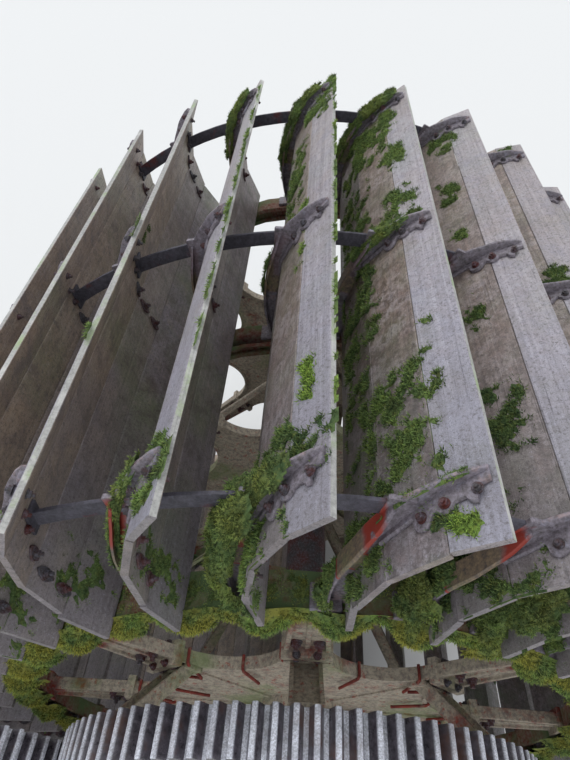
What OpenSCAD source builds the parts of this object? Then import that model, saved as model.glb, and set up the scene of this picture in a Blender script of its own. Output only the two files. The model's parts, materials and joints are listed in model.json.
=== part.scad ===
// Breastshot water wheel with curved timber floats on three cast-iron spiders,
// a toothed ring on the near spider and the pinion that it drives.
// The origin is on the floor under the axle, at the middle of the near bearing.
// The axle runs along +Y, +X is the side that the floats lean to, +Z is up.

/* [Wheel] */
// Radius to the tips of the floats
wheel_r = 2750; // [2500:10:3100]
// Length of each float along the axle
float_len = 3700; // [3200:10:4200]
// Arms on each spider
arms = 8; // [8:1:8]
// Floats in the bay between two arms
floats_per_arm = 4; // [4:1:4]
// Turn of the first float past the top arm, in degrees
tip_turn = 0.9; // [0:0.1:2]
// Height of the lowest float tip above the floor
ground_gap = 150; // [60:10:400]

/* [Floats] */
// Radius of the hollow face of a float
float_curve_r = 810; // [760:5:900]
// How far the middle of that curve lies in front of the tip
float_lean = 522; // [490:2:560]
// Width of the outermost board
outer_board_w = 220; // [200:5:240]
// Width of each of the three boards inside it
board_w = 265; // [250:5:270]
// Thickness of the boards
board_t = 32; // [24:1:40]

/* [Starts] */
// Distance from a float's end to the middle of the start that carries it
station_inset = 184; // [160:2:240]
// Distance from the float's tip to the end of a start
start_tip_gap = 50; // [30:5:70]
// Thickness of the plate that lies on the boards
start_plate_t = 16; // [12:1:22]
// Width of that plate between its lobes
start_plate_w = 80; // [70:1:86]
// Radius of the lobes round its bolts
start_lobe_r = 44; // [40:1:46]
// Distance from the rib's middle to those bolts
start_bolt_y = 60; // [56:1:64]
// Thickness of the standing rib
start_rib_t = 24; // [18:1:30]
// Height of the rib above the boards at its tip
rib_tip_h = 30; // [24:1:40]
// Height of the rib at its elbow
rib_elbow_h = 78; // [70:1:90]
// Height of the rib along its leg
rib_leg_h = 60; // [50:1:70]
// Length of the foot on the rim
start_foot_len = 150; // [120:5:170]
// Width of the foot
start_foot_w = 120; // [104:2:140]
// Width of the leg's cover plate
leg_cover_w = 104; // [80:2:120]
// Clearance under a start, on its boards and its rim
start_seat = 0.05; // [0.03:0.01:0.1]

/* [Tie bars] */
// Distance from the float's tip in to the ring of tie bars
tie_drop = 234; // [210:2:260]
// Depth of a tie bar, across the wheel's radius
tie_depth = 80; // [60:2:90]
// Thickness of a tie bar
tie_t = 16; // [10:1:20]
// Length of the foot that a tie bar has on the next float
tie_foot_len = 130; // [100:5:140]

/* [Rims] */
// Gap between the inner edges of the floats and the rims
rim_gap = 5; // [3:1:12]
// Radial depth of a rim
rim_depth = 135; // [110:5:160]
// Width of a rim's outer flange
rim_w = 170; // [140:5:200]
// Width of a rim's inner flange
rim_inner_w = 102; // [80:2:130]
// Thickness of a rim's flanges
rim_flange_t = 30; // [20:1:40]
// Thickness of a rim's web
rim_web_t = 44; // [30:2:60]
// Gap in the joints between rim segments
joint_gap = 1; // [0.5:0.5:3]

/* [Arms] */
// Width of an arm at the hub casting
arm_root_w = 240; // [220:5:260]
// Width of an arm at the rim
arm_end_w = 180; // [150:5:200]
// Width of an arm's edge flanges, along the axle
arm_flange_w = 70; // [60:2:90]
// Thickness of an arm's edge flanges
arm_flange_t = 26; // [18:1:32]
// Thickness of an arm's web
arm_web_t = 36; // [26:1:44]
// Thickness of the bolted plates at the ends of an arm
arm_plate_t = 26; // [18:1:32]
// Width of those plates along the axle
arm_plate_w = 130; // [100:5:160]
// How far those plates stand out past the sides of the arm
arm_plate_lip = 15; // [5:1:25]
// Radius at which the arms are bolted to the hub castings
hub_reach = 1120; // [1100:5:1180]
// Radius of the hollow curves between the hub casting's arms
fillet_r = 330; // [300:5:340]

/* [Hubs and axle] */
// Radius of a hub's boss
hub_r = 290; // [260:5:330]
// Length of a hub's boss
hub_len = 420; // [360:10:500]
// Radius of the axle through the hubs
axle_r = 150; // [130:5:170]
// Radius of the axle's journals
journal_r = 110; // [90:5:120]
// Clearance between the hubs and the axle, on the radius
hub_fit = 0.3; // [0.2:0.1:0.5]

/* [Gears] */
// Module of the teeth
gear_module = 29; // [28:0.5:29.5]
// Teeth on the segment that each arm carries
teeth_per_arm = 12; // [12:1:12]
// Teeth on each segment of the pinion
teeth_per_segment = 12; // [12:1:12]
// Segments, and arms, of the pinion
pinion_arms = 6; // [6:1:6]
// Width of the teeth along the axle
gear_face = 220; // [180:5:240]
// Gap between the toothed ring and the ends of the floats
gear_gap = 150; // [130:5:200]
// Gap between the near pier and the toothed ring
pier_gap = 100; // [60:5:160]
// Thickness of the ring under the teeth
gear_rim_t = 64; // [50:2:80]
// Play between the teeth, along the pitch circle
backlash = 2; // [1.5:0.25:4]
// Direction of the pinion from the axle, in degrees from upright
pinion_turn = -97; // [-100:0.5:-92]
// Radius of the pinion's shaft
shaft_r = 85; // [75:1:95]
// Radius of the pinion's boss
pinion_boss_r = 170; // [150:5:190]
// Length of shaft past the outer bearing
shaft_tail = 320; // [250:10:400]
// Radius of the turned-down end of that shaft
shaft_end_r = 70; // [60:1:74]
// Length of the turned-down end
shaft_end_len = 170; // [120:10:240]

/* [Bearings] */
// Clearance between a journal and its bearing, on the radius
running_fit = 0.1; // [0.05:0.01:0.1]
// Length of the axle's bearings
bearing_len = 260; // [220:5:280]
// Width of the axle's bearings
bearing_w = 640; // [600:10:700]
// Height of the axle above its piers
bearing_h = 270; // [240:5:300]
// Distance between the pinion shaft's two bearings
shaft_span = 950; // [800:10:1100]

/* [Piers] */
// Width of the axle's piers
pier_w = 900; // [800:10:1100]
// Depth of the axle's piers along the axle
pier_d = 600; // [540:10:640]
// Height of the cap stones
cap_h = 180; // [140:5:240]
// How far a cap stone stands out over its pier
cap_lip = 40; // [20:5:50]
// Height of the footing course
footing_h = 300; // [200:10:400]
// How far the footing stands out under its pier
footing_lip = 70; // [40:5:80]

/* [Hidden] */
floats = arms * floats_per_arm;
step = 360 / floats;
bay = 360 / arms;
big = 4 * wheel_r;

// Curve of a float, in its own frame: x along the turn, y out from the axle
curve_rise = sqrt(pow(float_curve_r, 2) - pow(float_lean, 2));
curve_c = [float_lean, wheel_r - curve_rise];
tip_phi = atan2(curve_rise, -float_lean);
outer_turn = 2 * asin(outer_board_w / 2 / float_curve_r);
board_turn = 2 * asin(board_w / 2 / float_curve_r);
boards = 4;
back_r = float_curve_r + board_t;
board_phi = [for (k = [0 : boards]) tip_phi + (k == 0 ? 0 : outer_turn + (k - 1) * board_turn)];
end_phi = board_phi[boards];

function polar(r, a) = [r * sin(a), r * cos(a)];
function on_curve(r, phi) = curve_c + r * [cos(phi), sin(phi)];
function angle_of(p) = atan2(p[0], p[1]);

// Radius, from the curve's middle, of the flat boards at an angle
function board_at(phi) =
    phi < board_phi[1] ? 0 : min(boards - 1, 1 + floor((phi - board_phi[1]) / board_turn));
function flat_at(r, phi) =
    let (k = board_at(phi), half = (board_phi[k + 1] - board_phi[k]) / 2)
    r * cos(half) / cos(phi - board_phi[k] - half);

// Corners of the boards: the tip is cut square to the radius
front_corners = [for (phi = board_phi) on_curve(float_curve_r, phi)];
back_ends = [for (phi = board_phi) on_curve(back_r, phi)];
tip_share = (wheel_r - back_ends[1][1]) / (back_ends[0][1] - back_ends[1][1]);
tip_back = back_ends[1] + (back_ends[0] - back_ends[1]) * tip_share;
back_corners = [for (k = [0 : boards]) k == 0 ? tip_back : back_ends[k]];

// Rims: regular rings of flats, one flat under the foot of each start
inner_corner = on_curve(back_r, end_phi);
foot_turn = angle_of(inner_corner) - 0.5 * start_foot_len / norm(inner_corner) * 180 / PI;
rim_out = norm(inner_corner) * cos(angle_of(inner_corner) - foot_turn) - rim_gap;
rim_in = rim_out - rim_depth;

// Stations along the axle
gear_y0 = pier_d / 2 + pier_gap;
gear_y1 = gear_y0 + gear_face;
near_end = gear_y1 + gear_gap;
far_end = near_end + float_len;
near_y = near_end + station_inset;
far_y = far_end - station_inset;
middle_y = (near_end + far_end) / 2;
far_pier_y = far_end + gear_gap + pier_d / 2;
axle_z = wheel_r + ground_gap;
tie_r = wheel_r - tie_drop;

// Gears
gear_teeth = arms * teeth_per_arm;
pinion_teeth = pinion_arms * teeth_per_segment;
gear_pitch_r = gear_module * gear_teeth / 2;
pinion_pitch_r = gear_module * pinion_teeth / 2;
gear_centres = gear_pitch_r + pinion_pitch_r;
pressure = 20;
dedendum = 1.25 * gear_module;
gear_in = gear_pitch_r - dedendum - gear_rim_t;
pinion_in = pinion_pitch_r - dedendum - gear_rim_t;
pinion_x = gear_centres * sin(pinion_turn);
pinion_z = axle_z + gear_centres * cos(pinion_turn);
gear_pitch_a = 360 / gear_teeth;
pinion_pitch_a = 360 / pinion_teeth;
// A tooth space of the pinion faces the tooth of the ring on the line of centres
ring_phase = (pinion_turn / gear_pitch_a - 0.5) - round(pinion_turn / gear_pitch_a - 0.5);
pinion_phase = (180 + pinion_turn) + ring_phase * pinion_pitch_a;
shaft_near_y = bearing_len / 2;
shaft_far_y = shaft_near_y - shaft_span;

// Small sizes of the starts, in millimetres and in degrees about the float's curve
start_bolts = [95, 292];
foot_t = 24;
foot_gap = 10;
cover_t = 16;
cover_steps = 3;
cover_turn = 8;
elbow_turn = 9;
elbow_swell = 0.72;
elbow_lip = 4;
leg_swell = 1.15;
leg_tail = 6;
plate_turn = 12;
rib_steps = 6;
edge_steps = 60;

// Small sizes of the wheel's other castings and bars
weld = 1;
tie_foot_t = 13;
tie_foot_inset = 2;
tie_steps = 4;
rim_lug_t = 24;
rim_lug_w = 136;
rim_lug_inset = 12;
arm_ridge_w = 26;
arm_ridge_h = 28;
brace_t = 18;
brace_w = 90;
brace_inset = 130;
bracket_t = 22;
bracket_w = 170;
bracket_drop = 60;
bracket_gap = 50;
lug_inset = 20;
lug_root = 4;
pinion_arm_w = 130;
boss_lip = 30;
shoulder_gap = 15;
axle_tail = 60;

// Small sizes of the bearings
shaft_bearing_len = 200;
shaft_bearing_w = 460;
shaft_bearing_h = 200;
bearing_foot_t = 45;
bearing_ear = 90;
bearing_flare = 30;

// Places: the wheel's own frame has the axle on Y at height nought
module on_axle() { translate([0, 0, axle_z]) children(); }
module on_shaft() { translate([pinion_x, 0, pinion_z]) children(); }
module turned(a) { rotate([0, a, 0]) children(); }
module across(y0, y1) { translate([0, y1, 0]) rotate([90, 0, 0]) linear_extrude(y1 - y0) children(); }
module rod(r, y0, y1) { translate([0, y0, 0]) rotate([-90, 0, 0]) cylinder(r = r, h = y1 - y0, $fn = 96); }
module plate(x0, x1, y0, y1, z0, z1) { translate([x0, y0, z0]) cube([x1 - x0, y1 - y0, z1 - z0]); }

module each_float() { for (i = [0 : floats - 1]) turned(tip_turn + i * step) children(); }
module each_arm(n = arms) { for (i = [0 : n - 1]) turned(i * 360 / n) children(); }

// Floats
module board(k) {
    polygon([front_corners[k], front_corners[k + 1], back_corners[k + 1], back_corners[k]]);
}

module board_ring(k, tint) {
    color(tint) on_axle() each_float() across(near_end, far_end) board(k);
}

// Starts: a rib that grows from the tip to the elbow and runs down the leg to a foot on the rim
tip_gap_turn = start_tip_gap / float_curve_r * 180 / PI;
rib_phi = tip_phi + tip_gap_turn;
elbow_phi = 180 - asin((tie_r - curve_c[1]) / back_r);
leg_phi = end_phi + leg_tail;
function rib_h(phi) = lookup(phi, [[rib_phi, rib_tip_h], [elbow_phi - elbow_turn, rib_elbow_h * elbow_swell],
    [elbow_phi, rib_elbow_h], [elbow_phi + elbow_turn, rib_leg_h], [leg_phi, rib_leg_h * leg_swell]]);
cover_phi = elbow_phi + cover_turn;
function along(a, b, n) = [for (i = [0 : n]) a + (b - a) * i / n];
function back_line(phi0, phi1, out) = concat([on_curve(flat_at(back_r, phi0) + out, phi0)],
    [for (p = board_phi) if (p > phi0 && p < min(phi1, end_phi)) on_curve(back_r + out, p)],
    [on_curve(flat_at(back_r, phi1) + out, phi1)]);
function reversed(v) = [for (i = [len(v) - 1 : -1 : 0]) v[i]];

module above_foot() { rotate(-foot_turn) translate([-big / 2, rim_out + foot_t / 2]) square([big, big]); }

module rib_outline() {
    intersection() {
        polygon(concat(back_line(rib_phi, leg_phi, start_seat),
            [for (p = reversed(along(rib_phi, leg_phi, rib_steps))) on_curve(back_r + rib_h(p), p)]));
        above_foot();
    }
}

module elbow_outline() {
    difference() {
        translate([elbow_x, tie_r - elbow_low]) square([abs(elbow_x), elbow_low + elbow_high]);
        polygon(concat(back_line(rib_phi, end_phi, start_seat), [[big, 0], [big, big]]));
    }
}

// The elbow ends past the rib wherever the tie bar passes it
elbow_low = tie_depth * 0.75;
elbow_high = tie_depth * 0.55;
function beside_bar(p) = p[1] > tie_r - elbow_low && p[1] < tie_r + elbow_high;
rib_edge = [for (phi = along(rib_phi, leg_phi, edge_steps)) on_curve(back_r + rib_h(phi) + cover_t / 2, phi)];
elbow_x = min([for (p = rib_edge) if (beside_bar(p)) p[0]]) - elbow_lip;

module start_plate(phi0, phi1) {
    across(-start_plate_w, 0)
        polygon(concat(back_line(phi0, phi1, start_seat), reversed(back_line(phi0, phi1, start_plate_t))));
}

module leg_cover() {
    run = along(cover_phi, leg_phi, cover_steps);
    across(-leg_cover_w / 2, leg_cover_w / 2) intersection() {
        polygon(concat([for (p = run) on_curve(back_r + rib_h(p) - cover_t / 2, p)],
            [for (p = reversed(run)) on_curve(back_r + rib_h(p) + cover_t / 2, p)]));
        above_foot();
    }
}

module lobe(phi) {
    k = board_at(phi);
    mid = (board_phi[k] + board_phi[k + 1]) / 2;
    p = on_curve(flat_at(back_r, phi) + start_seat, phi);
    translate([p[0], -start_bolt_y, p[1]]) rotate([0, 90 - mid, 0])
        cylinder(r = start_lobe_r, h = start_plate_t, $fn = 8);
}

lobe_phis = [for (s = start_bolts) tip_phi + s / float_curve_r * 180 / PI];

module start() {
    across(-start_rib_t / 2, start_rib_t / 2) {
        rib_outline();
        elbow_outline();
    }
    start_plate(rib_phi, elbow_phi + plate_turn);
    leg_cover();
    across(-start_foot_w / 2, start_foot_w / 2) rotate(-foot_turn)
        translate([-start_foot_len / 2, rim_out + start_seat]) square([start_foot_len - foot_gap, foot_t]);
    for (phi = lobe_phis) lobe(phi);
}

module start_ring(y) {
    color("dimgray") on_axle() each_float() translate([0, y, 0]) start();
}

// Tie bars: from the elbow of each start to the hollow face of the float before it
module front_side() {
    polygon(concat([for (p = board_phi) on_curve(float_curve_r, p)], [[-big, 0], [-big, big]]));
}

tie_point = on_curve(float_curve_r, board_phi[1]);
tie_dir = (on_curve(float_curve_r, board_phi[2]) - tie_point) / board_w;
tie_t0 = (tie_point[1] - tie_r) / -tie_dir[1];
tie_normal = [-tie_dir[1], tie_dir[0]];
tie_from = max(tie_foot_inset, tie_t0 - tie_foot_len / 2);

module tie_bar() {
    span = along(angle_of([elbow_x, tie_r]) + 1, angle_of([elbow_x, tie_r]) - step, tie_steps);
    across(-tie_t / 2, tie_t / 2) difference() {
        polygon(concat([for (a = span) polar(tie_r + tie_depth / 2, a)],
            [for (a = reversed(span)) polar(tie_r - tie_depth / 2, a)]));
        translate([elbow_x, 0]) square([big, big]);
        rotate(step) front_side();
    }
    across(-tie_depth / 2, tie_depth / 2) rotate(step) polygon([
        tie_point + tie_dir * tie_from, tie_point + tie_dir * (tie_from + tie_foot_len),
        tie_point + tie_dir * (tie_from + tie_foot_len) + tie_normal * tie_foot_t,
        tie_point + tie_dir * tie_from + tie_normal * tie_foot_t]);
}

module tie_ring(y) {
    color("slategray") on_axle() each_float() translate([0, y, 0]) tie_bar();
}

// Rims: eight bolted segments, each about its own arm
function flats_r(ap, c, a) = let (t = (a - c) / step) ap / cos((t - round(t)) * step);
function flats_line(ap, c, a0, a1) =
    let (k0 = ceil((a0 - c) / step - 0.5 + 0.001), k1 = floor((a1 - c) / step - 0.5 - 0.001))
    [for (a = concat([a0], [for (k = [k0 : k1]) c + (k + 0.5) * step], [a1])) polar(flats_r(ap, c, a), a)];

rim_turn = tip_turn + foot_turn;
rim_cut = rim_turn + step / 2 - step * round((rim_turn + step / 2 + bay / 2) / step);
joint_turn = joint_gap / 2 / rim_out * 180 / PI;

module rim_band(ap0, c0, ap1, c1, y0, y1) {
    a0 = rim_cut + joint_turn;
    a1 = rim_cut + bay - joint_turn;
    across(y0, y1) polygon(concat(flats_line(ap1, c1, a0, a1), reversed(flats_line(ap0, c0, a0, a1))));
}

module rim_lug(a, side) {
    near_x = side > 0 ? joint_gap / 2 : -joint_gap / 2 - rim_lug_t;
    turned(a) plate(near_x, near_x + rim_lug_t, -rim_lug_w / 2, rim_lug_w / 2, rim_in + rim_lug_inset,
        rim_out - rim_flange_t / 2);
}

module rim_segment() {
    rim_band(rim_out - rim_flange_t, rim_turn, rim_out, rim_turn, -rim_w / 2, rim_w / 2);
    rim_band(rim_in, 0, rim_out - weld, rim_turn, -rim_web_t / 2, rim_web_t / 2);
    rim_band(rim_in, 0, rim_in + rim_flange_t, 0, -rim_inner_w / 2, rim_inner_w / 2);
    rim_lug(rim_cut, 1);
    rim_lug(rim_cut + bay, -1);
}

module rim(y) {
    color("olivedrab") on_axle() each_arm() translate([0, y, 0]) rim_segment();
}

// Arms: a web between two edge flanges, with a bolted plate at each end
arm_z0 = hub_reach + arm_plate_t;
arm_z1 = rim_in - arm_plate_t;

module arm_strip(side) {
    polygon([[side * arm_root_w / 2, arm_z0], [side * arm_end_w / 2, arm_z1],
        [side * (arm_end_w / 2 - arm_flange_t), arm_z1], [side * (arm_root_w / 2 - arm_flange_t), arm_z0]]);
}

module arm() {
    face = arm_plate_w / 2;
    across(-arm_web_t / 2, arm_web_t / 2) polygon([[-arm_root_w / 2, arm_z0], [arm_root_w / 2, arm_z0],
        [arm_end_w / 2, arm_z1], [-arm_end_w / 2, arm_z1]]);
    across(-arm_flange_w / 2, arm_flange_w / 2) {
        arm_strip(1);
        arm_strip(-1);
    }
    plate(-arm_root_w / 2 - arm_plate_lip, arm_root_w / 2 + arm_plate_lip, -face, face, hub_reach, arm_z0);
    plate(-arm_end_w / 2 - arm_plate_lip, arm_end_w / 2 + arm_plate_lip, -face, face, arm_z1, rim_in);
    plate(-arm_ridge_w / 2, arm_ridge_w / 2, -arm_ridge_h, arm_ridge_h, arm_z0, arm_z1);
}

module arm_ring(y) {
    color("tan") on_axle() each_arm() translate([0, y, 0]) arm();
}

// Star with n arms and hollow curves that bite a little into them, cut off square at its reach
module star(n, half_w, hollow, reach) {
    half = 180 / n;
    d = (half_w + hollow - weld) / sin(half);
    intersection() {
        difference() {
            union() {
                for (i = [0 : n - 1]) rotate(i * 360 / n)
                    translate([-half_w, 0]) square([half_w * 2, 2 * reach]);
                rotate(90 - half) circle(r = d, $fn = n);
            }
            for (i = [0 : n - 1]) rotate((i + 0.5) * 360 / n) translate([0, d]) circle(r = hollow, $fn = 96);
        }
        rotate(90 - half) circle(r = reach / cos(half), $fn = n);
    }
}

module hub_casting() {
    half = arm_flange_w / 2;
    face = arm_plate_w / 2;
    difference() {
        union() {
            across(-arm_web_t / 2, arm_web_t / 2) star(arms, arm_root_w / 2, fillet_r, hub_reach - weld);
            across(-half, half) difference() {
                star(arms, arm_root_w / 2, fillet_r, hub_reach - weld);
                star(arms, arm_root_w / 2 - arm_flange_t, fillet_r + arm_flange_t, hub_reach);
            }
            each_arm() {
                plate(-arm_root_w / 2 - arm_plate_lip, arm_root_w / 2 + arm_plate_lip, -face, face,
                    hub_reach - arm_plate_t, hub_reach);
                plate(-arm_ridge_w / 2, arm_ridge_w / 2, -arm_ridge_h, arm_ridge_h, 0, hub_reach - weld);
            }
            rod(hub_r, -hub_len / 2, hub_len / 2);
        }
        rod(axle_r + hub_fit, -hub_len, hub_len);
    }
}

module hub(y) {
    color("tan") on_axle() translate([0, y, 0]) hub_casting();
}

// Braces: flat bars from one hub's boss to the arms of the next spider
brace_hub_z = axle_r + hub_fit + brace_w;
brace_rim_z = rim_in - brace_inset;

module brace(y0, y1) {
    run = [y1 - y0, brace_rim_z - brace_hub_z];
    lift = atan2(run[1], -run[0]);
    half = brace_w / 2;
    spare = brace_w;
    plate(-half, half, y0 - brace_t, y0, brace_hub_z - half, brace_hub_z + half);
    plate(-arm_end_w / 2, arm_end_w / 2, y1, y1 + brace_t, brace_rim_z - half, brace_rim_z + half);
    difference() {
        translate([-half, y0, brace_hub_z]) rotate([-lift, 0, 0])
            translate([0, -norm(run) - spare, -brace_t / 2]) cube([brace_w, norm(run) + 2 * spare, brace_t]);
        plate(-brace_w, brace_w, y0 - 1, y0 + big, -big, big);
        plate(-brace_w, brace_w, y1 - big, y1 + 1, -big, big);
    }
}

module near_braces() {
    color("rosybrown") on_axle() for (i = [1 : 2 : arms - 1]) turned(i * bay)
        brace(middle_y - hub_len / 2, near_y + arm_flange_w / 2);
}

module far_braces() {
    color("rosybrown") on_axle() for (i = [0 : 2 : arms - 1]) turned(i * bay)
        brace(far_y - hub_len / 2, middle_y + arm_flange_w / 2);
}

// Toothed rings with involute teeth
function involute(a) = tan(a) * 180 / PI - a;
function half_tooth(r, pitch_r) =
    let (base_r = pitch_r * cos(pressure), thick = (PI * gear_module - backlash) / 4)
    thick / pitch_r * 180 / PI + involute(pressure) - involute(acos(base_r / r));
tooth_steps = 3;
function tooth_radii(pitch_r) = along(pitch_r - dedendum, pitch_r + gear_module, tooth_steps);
function tooth(pitch_r, a) = concat(
    [for (r = tooth_radii(pitch_r)) polar(r, a - half_tooth(r, pitch_r))],
    [for (r = reversed(tooth_radii(pitch_r))) polar(r, a + half_tooth(r, pitch_r))]);

module toothed_segment(pitch_r, teeth, in_r, cut_a) {
    pitch_a = gear_module / pitch_r * 180;
    half = teeth * pitch_a / 2;
    root = pitch_r - dedendum;
    cut = joint_gap / 2 / root * 180 / PI;
    polygon(concat([polar(root, -half + cut)],
        [for (i = [0 : teeth - 1]) each tooth(pitch_r, -half + (i + 0.5) * pitch_a)],
        [polar(root, half - cut)],
        [for (a = [half - cut, cut_a, -cut_a, -half + cut])
            polar(in_r / cos(abs(a) > cut_a ? abs(a) - 2 * cut_a : cut_a), a)]));
}

// Brackets: from lugs under the ring to the near face of each arm, low enough to hide behind the ring
bracket_z0 = gear_in - bracket_drop;
bracket_z1 = gear_in + gear_rim_t * 0.75;
bracket_face = near_y - arm_flange_w / 2;
bracket_fall = bracket_z1 - (hub_reach - arm_plate_t - bracket_gap);

module gear_ring() {
    color("gray") on_axle() each_arm() {
        across(gear_y0, gear_y1) toothed_segment(gear_pitch_r, teeth_per_arm, gear_in, bay / 4);
        plate(-bracket_w / 2, bracket_w / 2, gear_y0 + lug_inset, gear_y1, bracket_z0, gear_in + lug_root);
    }
}

// Slab that slopes from the ring down to the arm, between two heights at the ring
module bracket_slab(x0, x1, z0, z1) {
    translate([x0, 0, 0]) rotate([90, 0, 90]) linear_extrude(x1 - x0) polygon([[gear_y1, z0],
        [gear_y1, z1], [bracket_face, z1 - bracket_fall], [bracket_face, z0 - bracket_fall]]);
}

module gear_brackets() {
    half = bracket_w / 2;
    web_z = (bracket_z0 + bracket_z1 - bracket_t) / 2;
    color("firebrick") on_axle() each_arm() {
        plate(-half, half, gear_y1, gear_y1 + bracket_t, bracket_z0, bracket_z1);
        plate(-arm_root_w / 2, arm_root_w / 2, bracket_face - bracket_t, bracket_face,
            bracket_z0 - bracket_fall, bracket_z1 - bracket_fall);
        for (x = [-half, half - bracket_t]) bracket_slab(x, x + bracket_t, bracket_z0, bracket_z1);
        bracket_slab(-half, half, web_z, web_z + bracket_t);
    }
}

// Axle and pinion shaft
module axle() {
    shoulder = bearing_len / 2 + shoulder_gap;
    color("dimgray") on_axle() {
        rod(journal_r, -shoulder - axle_tail, far_pier_y + shoulder + axle_tail);
        rod(axle_r, shoulder, far_pier_y - shoulder);
    }
}

module pinion_shaft() {
    end_y = shaft_far_y - shaft_bearing_len / 2 - shaft_tail;
    color("dimgray") on_shaft() {
        rod(shaft_end_r, end_y, end_y + shaft_end_len);
        rod(shaft_r, end_y + shaft_end_len, gear_y1 + axle_tail);
    }
}

module pinion_spider() {
    web = arm_web_t / 2;
    mid = (gear_y0 + gear_y1) / 2;
    foot = pinion_in - arm_plate_t;
    seat = gear_face * 0.3;
    color("gray") on_shaft() turned(pinion_phase) difference() {
        union() {
            translate([0, mid, 0]) across(-web, web)
                star(pinion_arms, pinion_arm_w / 2, fillet_r / 2, foot + weld);
            translate([0, mid, 0]) each_arm(pinion_arms) {
                plate(-pinion_arm_w, pinion_arm_w, -seat, seat, foot, pinion_in);
                plate(-arm_ridge_w / 2, arm_ridge_w / 2, -seat, seat, 0, foot + weld);
            }
            rod(pinion_boss_r, gear_y0 - boss_lip, gear_y1 + boss_lip);
        }
        rod(shaft_r + hub_fit, 0, far_end);
    }
}

module pinion_ring() {
    color("gray") on_shaft() turned(pinion_phase) each_arm(pinion_arms) across(gear_y0, gear_y1)
        toothed_segment(pinion_pitch_r, teeth_per_segment, pinion_in, 90 / pinion_arms);
}

// Bearings: a footed block below the shaft's centre line and a bolted cap above it
module bearing_half(w, len, h, r, up) {
    body = r * 1.75;
    ear = body + bearing_ear;
    half = [[ear, 0], [ear, -bearing_foot_t], [body, -bearing_foot_t * 2],
        [body + bearing_flare, -h + bearing_foot_t * 1.5], [w / 2, -h + bearing_foot_t], [w / 2, -h]];
    difference() {
        across(-len / 2, len / 2) {
            if (up) {
                intersection() {
                    circle(r = body, $fn = 96);
                    translate([-body, 0]) square([2 * body, body]);
                }
                translate([-ear, 0]) square([2 * ear, bearing_foot_t]);
            } else {
                polygon(concat(half, [for (p = reversed(half)) [-p[0], p[1]]]));
            }
        }
        rod(r + running_fit, -len, len);
    }
}

module axle_bearing(y, up) {
    color("slategray") on_axle() translate([0, y, 0])
        bearing_half(bearing_w, bearing_len, bearing_h, journal_r, up);
}

module shaft_bearings(up) {
    color("slategray") on_shaft() for (y = [shaft_near_y, shaft_far_y]) translate([0, y, 0])
        bearing_half(shaft_bearing_w, shaft_bearing_len, shaft_bearing_h, shaft_r, up);
}

// Piers
module pier(x, y, w, d, top) {
    color("darkkhaki") translate([x, y, 0]) {
        plate(-w / 2, w / 2, -d / 2, d / 2, 0, top - cap_h);
        plate(-w / 2 - footing_lip, w / 2 + footing_lip, -d / 2 - footing_lip, d / 2 + footing_lip,
            0, footing_h);
    }
}

module cap_stone(x, y, w, d, top) {
    color("khaki") translate([x, y, 0])
        plate(-w / 2 - cap_lip, w / 2 + cap_lip, -d / 2 - cap_lip, d / 2 + cap_lip, top - cap_h, top);
}

axle_pier_top = axle_z - bearing_h;
shaft_pier_top = pinion_z - shaft_bearing_h;
shaft_pier_w = 640;
shaft_pier_y = (shaft_near_y + shaft_far_y) / 2;
shaft_pier_d = shaft_span + shaft_bearing_len + 40;

pier(0, 0, pier_w, pier_d, axle_pier_top);  // near_pier
pier(0, far_pier_y, pier_w, pier_d, axle_pier_top);  // far_pier
pier(pinion_x, shaft_pier_y, shaft_pier_w, shaft_pier_d, shaft_pier_top);  // pinion_pier
cap_stone(0, 0, pier_w, pier_d, axle_pier_top);  // near_cap_stone
cap_stone(0, far_pier_y, pier_w, pier_d, axle_pier_top);  // far_cap_stone
cap_stone(pinion_x, shaft_pier_y, shaft_pier_w, shaft_pier_d, shaft_pier_top);  // pinion_cap_stone
axle_bearing(0, false);  // near_bearing
axle_bearing(0, true);  // near_bearing_cap
axle_bearing(far_pier_y, false);  // far_bearing
axle_bearing(far_pier_y, true);  // far_bearing_cap
shaft_bearings(false);  // pinion_bearings
shaft_bearings(true);  // pinion_bearing_caps
axle();
hub(near_y);  // near_hub
hub(middle_y);  // middle_hub
hub(far_y);  // far_hub
arm_ring(near_y);  // near_arms
arm_ring(middle_y);  // middle_arms
arm_ring(far_y);  // far_arms
rim(near_y);  // near_rim
rim(middle_y);  // middle_rim
rim(far_y);  // far_rim
start_ring(near_y);  // near_starts
start_ring(middle_y);  // middle_starts
start_ring(far_y);  // far_starts
tie_ring(near_y);  // near_tie_bars
tie_ring(middle_y);  // middle_tie_bars
tie_ring(far_y);  // far_tie_bars
board_ring(0, "silver");  // outer_boards
board_ring(1, "darkgray");  // second_boards
board_ring(2, "gray");  // third_boards
board_ring(3, "dimgray");  // inner_boards
near_braces();
far_braces();
gear_brackets();
gear_ring();
pinion_shaft();
pinion_spider();
pinion_ring();
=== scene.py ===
import json
import math
import random

import bmesh
import bpy
from mathutils import Matrix, Vector, noise


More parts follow.
